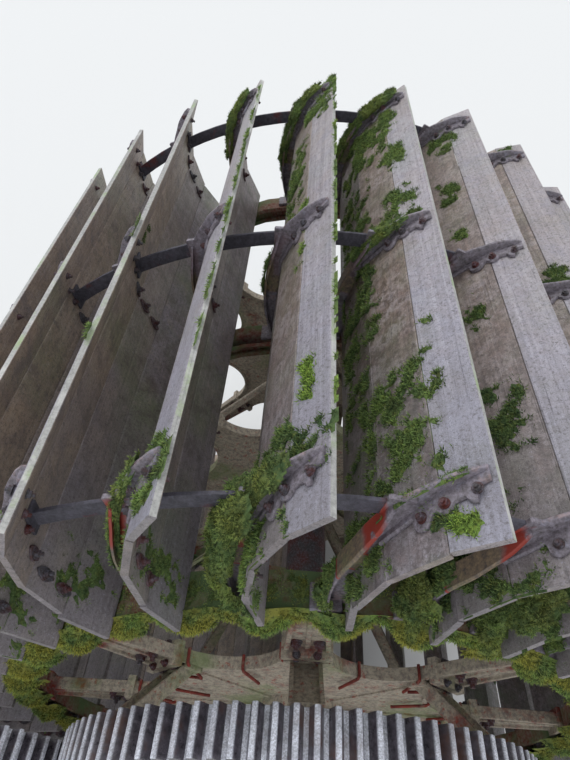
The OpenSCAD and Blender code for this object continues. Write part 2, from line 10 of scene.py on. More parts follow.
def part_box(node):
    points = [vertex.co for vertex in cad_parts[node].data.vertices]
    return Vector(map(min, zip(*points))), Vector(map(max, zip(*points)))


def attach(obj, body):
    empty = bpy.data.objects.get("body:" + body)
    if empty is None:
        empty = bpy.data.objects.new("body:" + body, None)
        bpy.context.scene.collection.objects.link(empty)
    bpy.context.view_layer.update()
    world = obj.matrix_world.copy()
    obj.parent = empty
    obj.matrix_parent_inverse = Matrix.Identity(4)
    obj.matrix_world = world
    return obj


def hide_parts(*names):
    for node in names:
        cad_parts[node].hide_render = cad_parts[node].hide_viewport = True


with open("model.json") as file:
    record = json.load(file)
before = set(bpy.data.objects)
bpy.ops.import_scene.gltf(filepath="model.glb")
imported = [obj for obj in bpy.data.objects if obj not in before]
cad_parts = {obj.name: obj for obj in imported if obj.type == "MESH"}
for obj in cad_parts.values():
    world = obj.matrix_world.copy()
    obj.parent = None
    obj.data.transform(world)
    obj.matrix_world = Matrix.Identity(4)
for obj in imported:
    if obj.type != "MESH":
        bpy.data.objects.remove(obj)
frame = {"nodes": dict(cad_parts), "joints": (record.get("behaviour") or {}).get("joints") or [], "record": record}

bl_info = {
    "name": "Water wheel dressing",
    "version": (1, 0, 0),
    "blender": (4, 5, 0),
    "location": "View3D > Sidebar > Water wheel",
    "description": "Worn boards, iron castings, bolts, moss and stone piers for a breastshot water wheel",
    "category": "Object",
}

# Places that come from the frame, in metres
JOINTS = {joint["name"]: joint for joint in frame["joints"]}
AXLE = Vector(JOINTS["wheel_spin"]["pos_m"])
SHAFT = Vector(JOINTS["pinion_spin"]["pos_m"])
BODY_OF = {node: body for body, nodes in frame["record"]["behaviour"]["bodies"].items() for node in nodes}
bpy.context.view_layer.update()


def middle(node):
    """Middle of a CAD node's box."""
    low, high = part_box(node)
    return (low + high) / 2


def half_span(node):
    """Half of the size of a CAD node's box."""
    low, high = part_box(node)
    return (high - low) / 2


NEAR_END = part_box("outer_boards")[0].y
FAR_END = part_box("outer_boards")[1].y
STATIONS = {name: middle(name + "_rim").y for name in ("near", "middle", "far")}
RIM_HALF = half_span("near_rim").y
RIM_R = half_span("near_rim").z
GEAR_TIP = half_span("gear_ring").z
PINION_TIP = half_span("pinion_ring").z
TOOTH_DEPTH = 0.065

# The wheel's driving sizes, as in the part's source, in metres
FLOATS = 32
ARMS = 8
FIRST_TURN = math.radians(0.9)
STEP = 2 * math.pi / FLOATS
TIP_R = 2.75
CURVE_R = 0.81
LEAN = 0.522
BOARD_T = 0.032
OUTER_W = 0.22
BOARD_W = 0.265
END_INSET = 0.012
BOARD_NODES = ("outer_boards", "second_boards", "third_boards", "inner_boards")

# The curve of a float, in its own frame: x along the turn, z out from the axle
RISE = math.sqrt(CURVE_R ** 2 - LEAN ** 2)
CURVE_Z = TIP_R - RISE
TIP_PHI = math.atan2(RISE, -LEAN)
OUTER_TURN = 2 * math.asin(OUTER_W / 2 / CURVE_R)
BOARD_TURN = 2 * math.asin(BOARD_W / 2 / CURVE_R)
BOARD_PHI = [TIP_PHI] + [TIP_PHI + OUTER_TURN + k * BOARD_TURN for k in range(4)]
BACK_R = CURVE_R + BOARD_T

# The starts: where the tie bars meet them, and their bolts
TIE_R = 2.516
BAR_END = 0.335
ELBOW_PHI = math.pi - math.asin((TIE_R - CURVE_Z) / BACK_R)
START_BOLTS = (0.095, 0.206, 0.292)
BOLT_LINE = -0.06
PLATE_T = 0.016

# The arms and the hollow curves of the hubs between them
ARM_HALF = 0.12
FLANGE_HALF = 0.035
HUB_REACH = 1.12
HOLLOW_R = 0.33
HOLLOW_AT = (ARM_HALF + HOLLOW_R) / math.sin(math.pi / ARMS)

# How the castings' edges are found, rounded and shaded
WELD = 0.00002
FLAT_ANGLE = math.radians(1.0)
ARRIS_ANGLE = math.radians(24.0)
SMOOTH_ANGLE = math.radians(34.0)


def on_curve(radius, phi):
    """Point of a float's own frame at an angle about the middle of its curve."""
    return Vector((LEAN + radius * math.cos(phi), 0.0, CURVE_Z + radius * math.sin(phi)))


def flat_radius(radius, phi):
    """Radius of the flat boards at that angle, for boards whose joints stand on the given radius."""
    for k in range(4):
        if phi <= BOARD_PHI[k + 1] or k == 3:
            half = (BOARD_PHI[k + 1] - BOARD_PHI[k]) / 2
            return radius * math.cos(half) / math.cos(phi - BOARD_PHI[k] - half)


def board_point(depth, y, hollow=False):
    """Point and outward direction on a float's back or hollow face, a distance in from the tip."""
    phi = TIP_PHI + depth / CURVE_R
    k = max(0, min(3, sum(phi > p for p in BOARD_PHI[1:])))
    half = (BOARD_PHI[k] + BOARD_PHI[k + 1]) / 2
    out = Vector((math.cos(half), 0.0, math.sin(half)))
    point = on_curve(flat_radius(CURVE_R if hollow else BACK_R, phi), phi) + Vector((0.0, y, 0.0))
    return point, (-out if hollow else out)


def eased(share):
    """A share from 0 to 1 that starts and ends gently."""
    return share * share * (3 - 2 * share)


def lean(station, depth):
    """How far the starts of the near rim lean along the axle, a distance in from the tip."""
    return max(-0.03, 0.08 - 0.2 * (depth - 0.03)) if station == "near" else 0.0


def turned(index):
    """Matrix from the own frame of one float to the shared frame."""
    return Matrix.Translation(AXLE) @ Matrix.Rotation(FIRST_TURN + index * STEP, 4, "Y")


class WheelSizes(bpy.types.PropertyGroup):
    """Sizes of the wear, the fastenings, the moss and the stones."""

    wear: bpy.props.FloatProperty(
        name="Wear", description="How deep the boards' faces are worn", default=0.003, unit="LENGTH")
    end_wander: bpy.props.FloatProperty(
        name="End wander", description="How far boards are out of line at their ends", default=0.012,
        unit="LENGTH")
    bolt_head: bpy.props.FloatProperty(
        name="Bolt head", description="Radius of a bolt head over its corners", default=0.016, unit="LENGTH")
    tuft_length: bpy.props.FloatProperty(
        name="Moss length", description="Length of the moss's shoots", default=0.017, unit="LENGTH")
    carpet_density: bpy.props.FloatProperty(
        name="Carpet density", description="Tufts on each square metre of a moss carpet", default=9500.0)
    stone_joint: bpy.props.FloatProperty(
        name="Stone joint", description="Width of the mortar joints", default=0.012, unit="LENGTH")
    course: bpy.props.FloatProperty(
        name="Course", description="Height of a course of stone", default=0.24, unit="LENGTH")


class WheelColours(bpy.types.PropertyGroup):
    """Colours of the finishes."""

    # The lilac-blue tint is partly the weathered wood's grey and partly painted sky light.
    board_grey: bpy.props.FloatVectorProperty(
        name="Board grey", description="Weathered upper faces", subtype="COLOR_GAMMA",
        default=(0.71, 0.715, 0.80))
    board_brown: bpy.props.FloatVectorProperty(
        name="Board brown", description="Damp boards", subtype="COLOR_GAMMA", default=(0.71, 0.66, 0.655))
    # Hollow faces: the wood's own olive-brown, made paler as painted light on faces that lie in shade.
    board_olive: bpy.props.FloatVectorProperty(
        name="Board olive", description="Hollow faces", subtype="COLOR_GAMMA", default=(0.83, 0.72, 0.58))
    # Pale sawn tips, partly a painted highlight on the floats' outer edges.
    board_edge: bpy.props.FloatVectorProperty(
        name="Board edge", description="Sawn tips of the boards", subtype="COLOR_GAMMA",
        default=(0.67, 0.665, 0.65))
    moss_bright: bpy.props.FloatVectorProperty(
        name="Bright moss", description="Fresh moss", subtype="COLOR_GAMMA", default=(0.66, 0.80, 0.36))
    moss_mid: bpy.props.FloatVectorProperty(
        name="Green moss", description="Common moss", subtype="COLOR_GAMMA", default=(0.58, 0.69, 0.40))
    moss_dark: bpy.props.FloatVectorProperty(
        name="Dark moss", description="Old moss", subtype="COLOR_GAMMA", default=(0.36, 0.46, 0.30))
    moss_olive: bpy.props.FloatVectorProperty(
        name="Olive moss", description="Moss that dries", subtype="COLOR_GAMMA", default=(0.76, 0.74, 0.34))
    oxide: bpy.props.FloatVectorProperty(
        name="Red oxide", description="Worn primer on the castings", subtype="COLOR_GAMMA",
        default=(0.62, 0.24, 0.19))
    iron: bpy.props.FloatVectorProperty(
        name="Iron", description="Bare weathered iron", subtype="COLOR_GAMMA", default=(0.27, 0.25, 0.255))
    lichen: bpy.props.FloatVectorProperty(
        name="Lichen", description="Pale crust on the arms", subtype="COLOR_GAMMA",
        default=(0.66, 0.62, 0.55))
    stone: bpy.props.FloatVectorProperty(
        name="Stone", description="Stone of the piers", subtype="COLOR_GAMMA", default=(0.60, 0.565, 0.50))


def sizes():
    """The scene's sizes."""
    return bpy.context.scene.wheel_sizes


def colour(name, factor=1.0):
    """One of the scene's colours as the shader takes it, made lighter or darker."""
    picked = getattr(bpy.context.scene.wheel_colours, name)
    linear = [c / 12.92 if c <= 0.04045 else ((c + 0.055) / 1.055) ** 2.4 for c in picked]
    return shade((*linear, 1.0), factor)


def shade(base, factor):
    """A colour made lighter or darker."""
    return (*[min(1.0, c * factor) for c in base[:3]], 1.0)


def socket(sockets, name):
    """The socket of that name which the node's settings leave in use."""
    for candidate in sockets:
        if candidate.name == name and candidate.enabled:
            return candidate
    raise KeyError(name)


class Wiring:
    """Adds and links the nodes of one tree."""

    def __init__(self, tree):
        self.tree = tree

    def node(self, kind, inputs=None, **settings):
        made = self.tree.nodes.new(kind)
        for key, value in settings.items():
            setattr(made, key, value)
        for key, value in (inputs or {}).items():
            self.feed(socket(made.inputs, key), value)
        return made

    def feed(self, target, value):
        if isinstance(value, bpy.types.NodeSocket):
            self.tree.links.new(value, target)
        else:
            target.default_value = value

    def pair(self, kind, operation, a, b):
        """A node that works on two values."""
        made = self.node(kind, operation=operation)
        self.feed(made.inputs[0], a)
        self.feed(made.inputs[1], b)
        return made.outputs[0]

    def math(self, operation, a, b):
        return self.pair("ShaderNodeMath", operation, a, b)

    def vector(self, operation, a, b):
        return self.pair("ShaderNodeVectorMath", operation, a, b)


class Finish(Wiring):
    """One procedural material, wired in Object coordinates."""

    def __init__(self, name, roughness, specular):
        self.material = bpy.data.materials.new(name)
        self.material.use_nodes = True
        super().__init__(self.material.node_tree)
        self.shader = self.tree.nodes["Principled BSDF"]
        self.shader.inputs["Metallic"].default_value = 0.0
        self.shader.inputs["Roughness"].default_value = roughness
        self.shader.inputs["Specular IOR Level"].default_value = specular
        self.place = self.node("ShaderNodeTexCoord").outputs["Object"]
        self.height = None

    def noise(self, scale, detail, rough, stretch=None, distortion=0.0):
        """A noise, with a scale of its own for each axis where it is stretched."""
        where = self.place
        if stretch:
            where = self.node("ShaderNodeMapping", {"Vector": where, "Scale": stretch}).outputs["Vector"]
        return self.node("ShaderNodeTexNoise", {"Vector": where, "Scale": scale, "Detail": detail,
                         "Roughness": rough, "Distortion": distortion}).outputs["Fac"]

    def radius(self, centre):
        """Distance from an axis along Y."""
        away = self.vector("SUBTRACT", self.place, centre)
        flat = self.vector("MULTIPLY", away, (1.0, 0.0, 1.0))
        return self.node("ShaderNodeVectorMath", {"Vector": flat}, operation="LENGTH").outputs["Value"]

    def band(self, value, low, high, start=0.0, end=1.0):
        return self.node("ShaderNodeMapRange", {"Value": value, "From Min": low, "From Max": high,
                         "To Min": start, "To Max": end}, clamp=True).outputs["Result"]

    def mix(self, factor, a, b):
        made = self.node("ShaderNodeMix", data_type="RGBA")
        for place, value in ((0, factor), (6, a), (7, b)):
            self.feed(made.inputs[place], value)
        return made.outputs[2]

    def layers(self, base, *rows):
        """Lays colours over a base: a field or a noise, its band, the amounts at the band's ends, the
        colour, and what else the amount is multiplied by."""
        for field, low, high, start, end, coat, *times in rows:
            if isinstance(field, tuple):
                field = self.noise(*field)
            amount = self.band(field, low, high, start, end)
            for other in times:
                amount = self.math("MULTIPLY", amount, other)
            base = self.mix(amount, base, coat)
        return base

    def attribute(self, name):
        return self.node("ShaderNodeAttribute", attribute_name=name).outputs["Fac"]

    def bumps(self, *rows):
        """Relief from each field, with its depth in metres and its strength."""
        for height, distance, strength in rows:
            made = self.node("ShaderNodeBump", {"Height": height, "Distance": distance,
                             "Strength": strength})
            if self.height is not None:
                self.feed(made.inputs["Normal"], self.height)
            self.height = made.outputs["Normal"]

    def done(self, base, roughness=None):
        for name, value in (("Base Color", base), ("Roughness", roughness), ("Normal", self.height)):
            if value is not None:
                self.feed(self.shader.inputs[name], value)
        return self.material


def weathered_board():
    """Gritty boards: lilac grey at the tip, brown and green further in, olive in the hollow going to a painted
    shade deeper in, and pale tips partly painted as a highlight.
    """
    f = Finish("Weathered board", roughness=0.6, specular=0.6)
    dirt = colour("board_brown", 0.16)
    row = f.attribute("row")
    grain = f.noise(1.0, 7.0, 0.62, (55.0, 1.1, 55.0), 0.3)
    checks = f.noise(1.0, 4.0, 0.7, (120.0, 0.9, 120.0))
    grit = f.noise(210.0, 3.0, 0.75)
    fine = f.noise(62.0, 6.0, 0.75)
    blotch = f.noise(2.3, 7.0, 0.62)
    cloud = f.noise(7.5, 7.0, 0.68)
    stain = f.noise(8.0, 8.0, 0.72)
    damp = f.math("ADD", f.band(row, 0.1, 0.3), f.band(blotch, 0.42, 0.7, -0.25, 0.35))
    back = f.layers(
        f.mix(damp, colour("board_grey"), colour("board_brown")),
        (cloud, 0.46, 0.6, 0.0, 0.75, (0.22, 0.12, 0.085, 1.0), f.band(row, 0.0, 0.3, 0.1, 1.0)),
        ((19.0, 8.0, 0.78), 0.47, 0.57, 0.0, 1.0, (0.11, 0.075, 0.06, 1.0),
         f.band(row, 0.0, 0.3, 0.2, 0.95)),
        ((3.1, 8.0, 0.7), 0.48, 0.62, 0.0, 1.0, colour("moss_mid", 0.45), f.band(row, 0.2, 0.8, 0.2, 0.8)))
    # Deeper into the hollow the olive goes to a painted purple shade.
    deep = f.band(f.math("ADD", row, f.band(blotch, 0.3, 0.7, -0.25, 0.25)), 0.2, 0.8)
    inside = f.layers(
        f.mix(deep, colour("board_olive"), (0.34, 0.3, 0.34, 1.0)),
        (cloud, 0.5, 0.64, 0.0, 0.5, (0.16, 0.14, 0.165, 1.0)),
        ((1.3, 6.0, 0.6), 0.38, 0.56, 0.0, 0.85, (0.46, 0.3, 0.14, 1.0), f.band(row, 0.1, 0.4, 1.0, 0.2)),
        ((1.7, 5.0, 0.6), 0.5, 0.66, 0.0, 0.55, colour("moss_mid", 0.7)),
        (stain, 0.5, 0.6, 0.0, 0.6, (0.12, 0.085, 0.065, 1.0)),
        (stain, 0.36, 0.46, 0.5, 0.0, (0.5, 0.42, 0.33, 1.0)))
    along = f.node("ShaderNodeSeparateXYZ", {"Vector": f.place}).outputs["Y"]
    base = f.layers(
        f.mix(f.attribute("hollow"), back, inside),
        (blotch, 0.3, 0.6, 0.4, 0.75, (0.2, 0.19, 0.215, 1.0),
         f.band(along, NEAR_END + 0.1, NEAR_END + 1.3, 1.0, 0.0)),
        (f.attribute("tone"), 0.0, 1.0, 0.0, 0.3, colour("board_brown", 0.7)),
        (grain, 0.3, 0.72, 0.45, 0.0, dirt),
        (fine, 0.6, 0.72, 0.0, 0.45, colour("board_grey", 1.35)),
        (fine, 0.34, 0.48, 0.8, 0.0, dirt),
        (checks, 0.66, 0.74, 0.0, 0.7, colour("board_brown", 0.12)),
        (grit, 0.6, 0.72, 0.0, 0.3, colour("board_grey", 1.3)),
        (grit, 0.34, 0.46, 0.6, 0.0, dirt))
    # Pale sawn tips of the outer boards, partly a painted highlight along the floats' outer edges.
    sawn_tip_and_highlight = f.layers(
        colour("board_edge", 0.6),
        (fine, 0.35, 0.6, 0.0, 1.0, colour("board_edge")),
        ((5.0, 6.0, 0.7), 0.52, 0.64, 0.0, 0.8, colour("board_edge", 1.35)),
        ((3.3, 6.0, 0.7), 0.52, 0.64, 0.0, 0.6, colour("moss_mid", 0.9)))
    f.bumps((grain, 0.004, 0.8), (f.band(checks, 0.62, 0.74, 1.0, 0.0), 0.004, 0.7), (fine, 0.003, 0.8),
            (grit, 0.0015, 0.7))
    return f.done(f.mix(f.attribute("edge"), base, sawn_tip_and_highlight), f.band(blotch, 0.3, 0.7, 0.42, 0.62))


def start_iron():
    """Dark weathered castings with red oxide under the elbow and an olive foot."""
    f = Finish("Start iron", roughness=0.6, specular=0.45)
    leg = f.attribute("leg")
    wear = f.noise(7.0, 7.0, 0.65)
    fine = f.noise(60.0, 6.0, 0.72)
    painted = f.math("ADD", leg, f.band(f.noise(4.0, 4.0, 0.5), 0.35, 0.65, -0.05, 0.05))
    red = f.math("MULTIPLY", f.band(painted, 0.05, 0.09), f.band(painted, 0.19, 0.23, 1.0, 0.0))
    foot = f.mix(f.band(fine, 0.35, 0.65), colour("board_brown", 0.16), colour("board_olive", 0.42))
    base = f.layers(
        colour("iron", 1.3),
        (fine, 0.35, 0.65, 0.0, 1.0, (0.25, 0.22, 0.26, 1.0)),
        ((18.0, 6.0, 0.7), 0.54, 0.66, 0.0, 0.5, colour("board_grey", 0.5)),
        (painted, 0.17, 0.24, 0.0, 1.0, foot),
        ((13.0, 7.0, 0.7), 0.33, 0.4, 0.0, 1.0, colour("oxide", 0.8), red, f.attribute("paint")),
        ((16.0, 7.0, 0.7), 0.53, 0.62, 0.0, 0.4, (0.36, 0.24, 0.22, 1.0), f.attribute("crest")),
        ((4.2, 6.0, 0.6), 0.46, 0.6, 0.0, 0.9, colour("moss_mid", 0.55), f.band(leg, 0.3, 0.6)))
    f.bumps((wear, 0.003, 0.6), (fine, 0.0015, 0.7))
    return f.done(base, f.band(wear, 0.35, 0.65, 0.38, 0.62))


def bar_iron():
    """Near-black tie bars with a slate bloom and spots of rust."""
    f = Finish("Bar iron", roughness=0.5, specular=0.5)
    fine = f.noise(45.0, 6.0, 0.7)
    wear = f.noise(6.0, 6.0, 0.65)
    slate = (0.07, 0.066, 0.086, 1.0)
    base = f.layers(
        shade(slate, 0.45),
        (fine, 0.35, 0.7, 0.0, 1.0, shade(slate, 1.3)),
        (wear, 0.58, 0.68, 0.0, 0.6, colour("oxide", 0.4)),
        ((11.0, 6.0, 0.7), 0.6, 0.72, 0.0, 0.4, colour("board_grey", 0.45)))
    f.bumps((fine, 0.002, 0.8), (wear, 0.003, 0.6))
    return f.done(base, f.band(wear, 0.35, 0.65, 0.55, 0.85))


def spider_iron():
    """Cream lichen crust over red oxide on the arms and hubs."""
    f = Finish("Spider iron", roughness=0.8, specular=0.35)
    crust = f.noise(4.6, 8.0, 0.66)
    fine = f.noise(38.0, 6.0, 0.72)
    grit = f.noise(150.0, 4.0, 0.7)
    worn = f.math("SUBTRACT", crust, f.band(f.radius(AXLE), 1.15, 1.6, 0.0, 0.14))
    base = f.layers(
        colour("oxide", 0.6),
        (worn, 0.31, 0.42, 0.0, 1.0, colour("lichen")),
        (fine, 0.42, 0.62, 0.0, 0.8, (0.15, 0.125, 0.11, 1.0)),
        ((26.0, 6.0, 0.7), 0.58, 0.64, 0.0, 0.7, colour("oxide", 0.8)),
        ((2.2, 6.0, 0.6), 0.53, 0.66, 0.0, 0.6, colour("moss_mid", 0.5)),
        (grit, 0.35, 0.45, 0.5, 0.0, colour("board_brown", 0.2)))
    f.bumps((crust, 0.006, 0.5), (fine, 0.003, 0.7), (grit, 0.001, 0.6))
    return f.done(base)


def rim_iron():
    """Rims under a film of moss, with oxide and lichen showing."""
    f = Finish("Rim iron", roughness=0.85, specular=0.3)
    film = f.noise(3.0, 8.0, 0.65)
    fine = f.noise(42.0, 6.0, 0.7)
    base = f.layers(
        colour("oxide", 0.45),
        (fine, 0.35, 0.7, 0.0, 1.0, colour("lichen", 0.62)),
        (film, 0.42, 0.56, 0.0, 0.92, colour("moss_dark", 0.9)))
    f.bumps((film, 0.008, 0.6), (fine, 0.002, 0.7))
    return f.done(base)


def gear_iron(name="Gear iron", place=AXLE, tip=GEAR_TIP):
    """Wet dark teeth, rust-spotted, with a painted speckled bluish sheen on their tips and between them."""
    f = Finish(name, roughness=0.3, specular=0.9)
    fine = f.noise(30.0, 6.0, 0.68)
    wear = f.noise(5.0, 7.0, 0.65)
    grit = f.noise(120.0, 4.0, 0.75)
    dark = (0.075, 0.066, 0.08, 1.0)
    out = f.radius(place)
    root = tip - TOOTH_DEPTH
    # Painted sheen: bluish-white specks of sky reflection on the tooth tips and between the teeth, speckled by the
    # grit noise.
    floors = f.math("MULTIPLY", f.band(out, root - 0.004, root - 0.002),
                    f.band(out, root + 0.001, root + 0.004, 1.0, 0.0))
    painted_sheen_places = f.math("ADD", f.band(out, tip - 0.012, tip - 0.002), floors)
    patchy = f.band(f.noise(9.0, 6.0, 0.7), 0.35, 0.6, 0.5, 1.0)
    base = f.layers(
        shade(dark, 0.5),
        (fine, 0.35, 0.72, 0.0, 1.0, shade(dark, 2.0)),
        (wear, 0.52, 0.64, 0.0, 0.7, (0.12, 0.05, 0.03, 1.0)),
        (grit, 0.42, 0.6, 0.5, 1.0, (0.88, 0.9, 1.0, 1.0), painted_sheen_places, patchy))
    f.bumps((fine, 0.002, 0.7), (wear, 0.003, 0.5), (grit, 0.001, 0.6))
    return f.done(base, f.band(wear, 0.35, 0.65, 0.16, 0.45))


def pinion_iron():
    """The gear's finish about the pinion's shaft."""
    return gear_iron("Pinion iron", SHAFT, PINION_TIP)


def dull_iron():
    """Dull rusted iron of the bearings, axle, shaft and bolts."""
    f = Finish("Dull iron", roughness=0.6, specular=0.45)
    wear = f.noise(8.0, 7.0, 0.65)
    fine = f.noise(70.0, 5.0, 0.7)
    base = f.layers(
        colour("iron", 0.7),
        (wear, 0.42, 0.62, 0.0, 1.0, colour("oxide", 0.22)),
        (fine, 0.45, 0.7, 0.0, 0.5, colour("board_grey", 0.42)))
    f.bumps((wear, 0.003, 0.5), (fine, 0.001, 0.6))
    return f.done(base)


def red_oxide():
    """Primer on the hook bolts."""
    f = Finish("Red oxide", roughness=0.7, specular=0.35)
    wear = f.noise(12.0, 7.0, 0.68)
    base = f.layers(
        colour("oxide", 0.6),
        (wear, 0.4, 0.62, 0.0, 1.0, colour("oxide", 0.28)),
        ((26.0, 6.0, 0.7), 0.54, 0.66, 0.0, 0.6, colour("lichen", 0.55)))
    f.bumps((wear, 0.002, 0.6))
    return f.done(base)


def pier_stone():
    """Buff stone with a tone of its own for each block."""
    f = Finish("Pier stone", roughness=0.92, specular=0.25)
    cloud = f.noise(5.0, 8.0, 0.65)
    grit = f.noise(120.0, 4.0, 0.7)
    base = f.layers(
        f.mix(f.attribute("tone"), colour("stone", 0.62), colour("stone", 1.12)),
        (cloud, 0.4, 0.68, 0.0, 0.6, colour("stone", 0.5)),
        ((2.4, 7.0, 0.6), 0.52, 0.7, 0.0, 0.55, colour("moss_dark", 1.4)),
        (grit, 0.35, 0.7, 0.0, 0.3, colour("stone", 1.3)))
    f.bumps((cloud, 0.008, 0.7), (grit, 0.002, 0.7))
    return f.done(base)


def mortar():
    """Damp lime mortar in the joints."""
    f = Finish("Mortar", roughness=0.95, specular=0.2)
    grit = f.noise(90.0, 5.0, 0.7)
    f.bumps((grit, 0.003, 0.8))
    return f.done(f.mix(f.band(grit, 0.3, 0.7), colour("stone", 0.4), colour("stone", 0.75)))


def living_moss():
    """Moss from dark green to bright yellow-green, as each clump's tone says."""
    f = Finish("Living moss", roughness=0.9, specular=0.2)
    mixed = f.math("ADD", f.attribute("tone"), f.band(f.noise(14.0, 7.0, 0.7), 0.3, 0.7, -0.35, 0.35))
    tip = f.attribute("tip")
    base = f.layers(
        colour("moss_dark"),
        (mixed, 0.0, 0.6, 0.0, 1.0, colour("moss_mid")),
        (mixed, 0.55, 1.05, 0.0, 1.0, colour("moss_bright")),
        ((45.0, 5.0, 0.7), 0.5, 0.66, 0.0, 0.5, colour("moss_olive", 0.9)),
        ((9.0, 6.0, 0.7), 0.56, 0.66, 0.0, 0.5, (0.12, 0.085, 0.045, 1.0)),
        ((6.0, 5.0, 0.6), 0.44, 0.58, 0.0, 1.0, colour("moss_olive"), f.attribute("dry")),
        ((70.0, 4.0, 0.7), 0.38, 0.5, 0.7, 0.0, colour("moss_dark", 0.35)),
        # Painted shade: the tufts darken towards their feet, and the cloth beneath them is dark.
        (tip, 0.05, 0.65, 0.85, 0.0, colour("moss_dark", 0.25)),
        (tip, 0.55, 1.0, 0.0, 0.45, colour("moss_bright", 1.1)))
    f.bumps((f.noise(160.0, 4.0, 0.7), 0.006, 0.9))
    return f.done(base)


FINISHES = {
    "board": weathered_board, "start": start_iron, "bar": bar_iron, "spider": spider_iron, "rim": rim_iron,
    "gear": gear_iron, "pinion": pinion_iron, "dull": dull_iron, "oxide": red_oxide, "stone": pier_stone,
    "mortar": mortar, "moss": living_moss,
}
made_finishes = {}


def finish(name):
    """A material, made the first time that it is asked for."""
    if name not in made_finishes:
        made_finishes[name] = FINISHES[name]()
    return made_finishes[name]


class Tree(Wiring):
    """A Geometry Nodes tree with named inputs."""

    def __init__(self, name, inputs):
        super().__init__(bpy.data.node_groups.new(name, "GeometryNodeTree"))
        face = self.tree.interface
        face.new_socket("Geometry", in_out="INPUT", socket_type="NodeSocketGeometry")
        self.identifiers = {}
        for label, kind in inputs:
            made = face.new_socket(label, in_out="INPUT", socket_type="NodeSocket" + kind)
            self.identifiers[label] = made.identifier
        face.new_socket("Geometry", in_out="OUTPUT", socket_type="NodeSocketGeometry")
        self.start = self.tree.nodes.new("NodeGroupInput").outputs
        self.end = self.tree.nodes.new("NodeGroupOutput").inputs["Geometry"]

    def chain(self, geometry, kind, inputs=None, **settings):
        """A node that takes geometry and gives it on."""
        made = self.node(kind, inputs, **settings)
        for name in ("Geometry", "Mesh", "Points"):
            if name in made.inputs:
                self.feed(made.inputs[name], geometry)
                break
        return next(out for out in made.outputs if out.type == "GEOMETRY")

    def random(self, low, high, seed, vector=False):
        made = self.node("FunctionNodeRandomValue", data_type="FLOAT_VECTOR" if vector else "FLOAT")
        self.feed(socket(made.inputs, "Min"), (low, low, low) if vector else low)
        self.feed(socket(made.inputs, "Max"), (high, high, high) if vector else high)
        self.feed(socket(made.inputs, "Seed"), seed)
        return socket(made.outputs, "Value")

    def combine(self, **parts):
        return self.node("ShaderNodeCombineXYZ", parts).outputs["Vector"]

    def named(self, name, kind="FLOAT"):
        made = self.node("GeometryNodeInputNamedAttribute", {"Name": name}, data_type=kind)
        return made.outputs["Attribute"]

    def store(self, geometry, name, value, domain="INSTANCE"):
        return self.chain(geometry, "GeometryNodeStoreNamedAttribute", {"Name": name, "Value": value},
                          data_type="FLOAT", domain=domain)

    def instances(self, points, shape, **inputs):
        inputs.update(Points=points, Instance=shape)
        return self.node("GeometryNodeInstanceOnPoints", inputs).outputs["Instances"]

    def joined(self, *pieces):
        made = self.node("GeometryNodeJoinGeometry")
        for piece in pieces:
            self.feed(made.inputs[0], piece)
        return made.outputs[0]

    def aligned(self, way):
        """The rotation that turns Z that way."""
        return self.node("FunctionNodeAlignRotationToVector", {"Vector": way}, axis="Z").outputs["Rotation"]

    def spun(self, rotation, extra):
        """A rotation after one more about its own axes."""
        return self.node("FunctionNodeRotateRotation", {"Rotation": rotation, "Rotate By": extra},
                         rotation_space="LOCAL").outputs["Rotation"]

    def lifted(self, geometry, height):
        return self.chain(geometry, "GeometryNodeTransform", {"Translation": self.combine(Z=height)})

    def eroded(self, geometry, depth, scale, detail):
        """The geometry with its faces pushed in by a noise."""
        field = self.node("ShaderNodeTexNoise", {"Scale": scale, "Detail": detail}).outputs["Fac"]
        inward = self.math("MULTIPLY", field, self.math("MULTIPLY", depth, -1.0))
        normal = self.node("GeometryNodeInputNormal").outputs["Normal"]
        push = self.node("ShaderNodeVectorMath", {"Vector": normal, "Scale": inward}, operation="SCALE")
        return self.chain(geometry, "GeometryNodeSetPosition", {"Offset": push.outputs["Vector"]})

    def finish(self, geometry, material):
        """Realize Instances and Set Material, then the way out."""
        real = self.chain(geometry, "GeometryNodeRealizeInstances")
        coated = self.chain(real, "GeometryNodeSetMaterial", {"Material": material})
        self.feed(self.end, coated)


def ring_tree():
    """Sets the geometry of one float or arm all round the axle, and wears it."""
    t = Tree("Ring about the axle", [
        ("Count", "Int"), ("First Turn", "Float"), ("Axle Height", "Float"), ("End Wander", "Float"),
        ("Wear", "Float"), ("Wear Scale", "Float"), ("Seed", "Int"), ("Finish", "Material")])
    given = t.start
    line = t.node("GeometryNodeMeshLine", {"Count": given["Count"], "Offset": (0.0, 0.0, 0.0)})
    index = t.node("GeometryNodeInputIndex").outputs["Index"]
    share = t.math("DIVIDE", t.math("MULTIPLY", index, math.tau), given["Count"])
    turn = t.combine(Y=t.math("ADD", share, given["First Turn"]))
    wander = t.math("MULTIPLY", t.random(-1.0, 1.0, given["Seed"]), given["End Wander"])
    line = t.chain(line.outputs["Mesh"], "GeometryNodeSetPosition", {"Offset": t.combine(Y=wander)})
    ring = t.instances(line, given["Geometry"], Rotation=turn)
    ring = t.store(ring, "tone", t.random(0.0, 1.0, given["Seed"]))
    ring = t.chain(ring, "GeometryNodeRealizeInstances")
    ring = t.eroded(ring, given["Wear"], given["Wear Scale"], 3.0)
    t.finish(t.lifted(ring, given["Axle Height"]), given["Finish"])
    return t


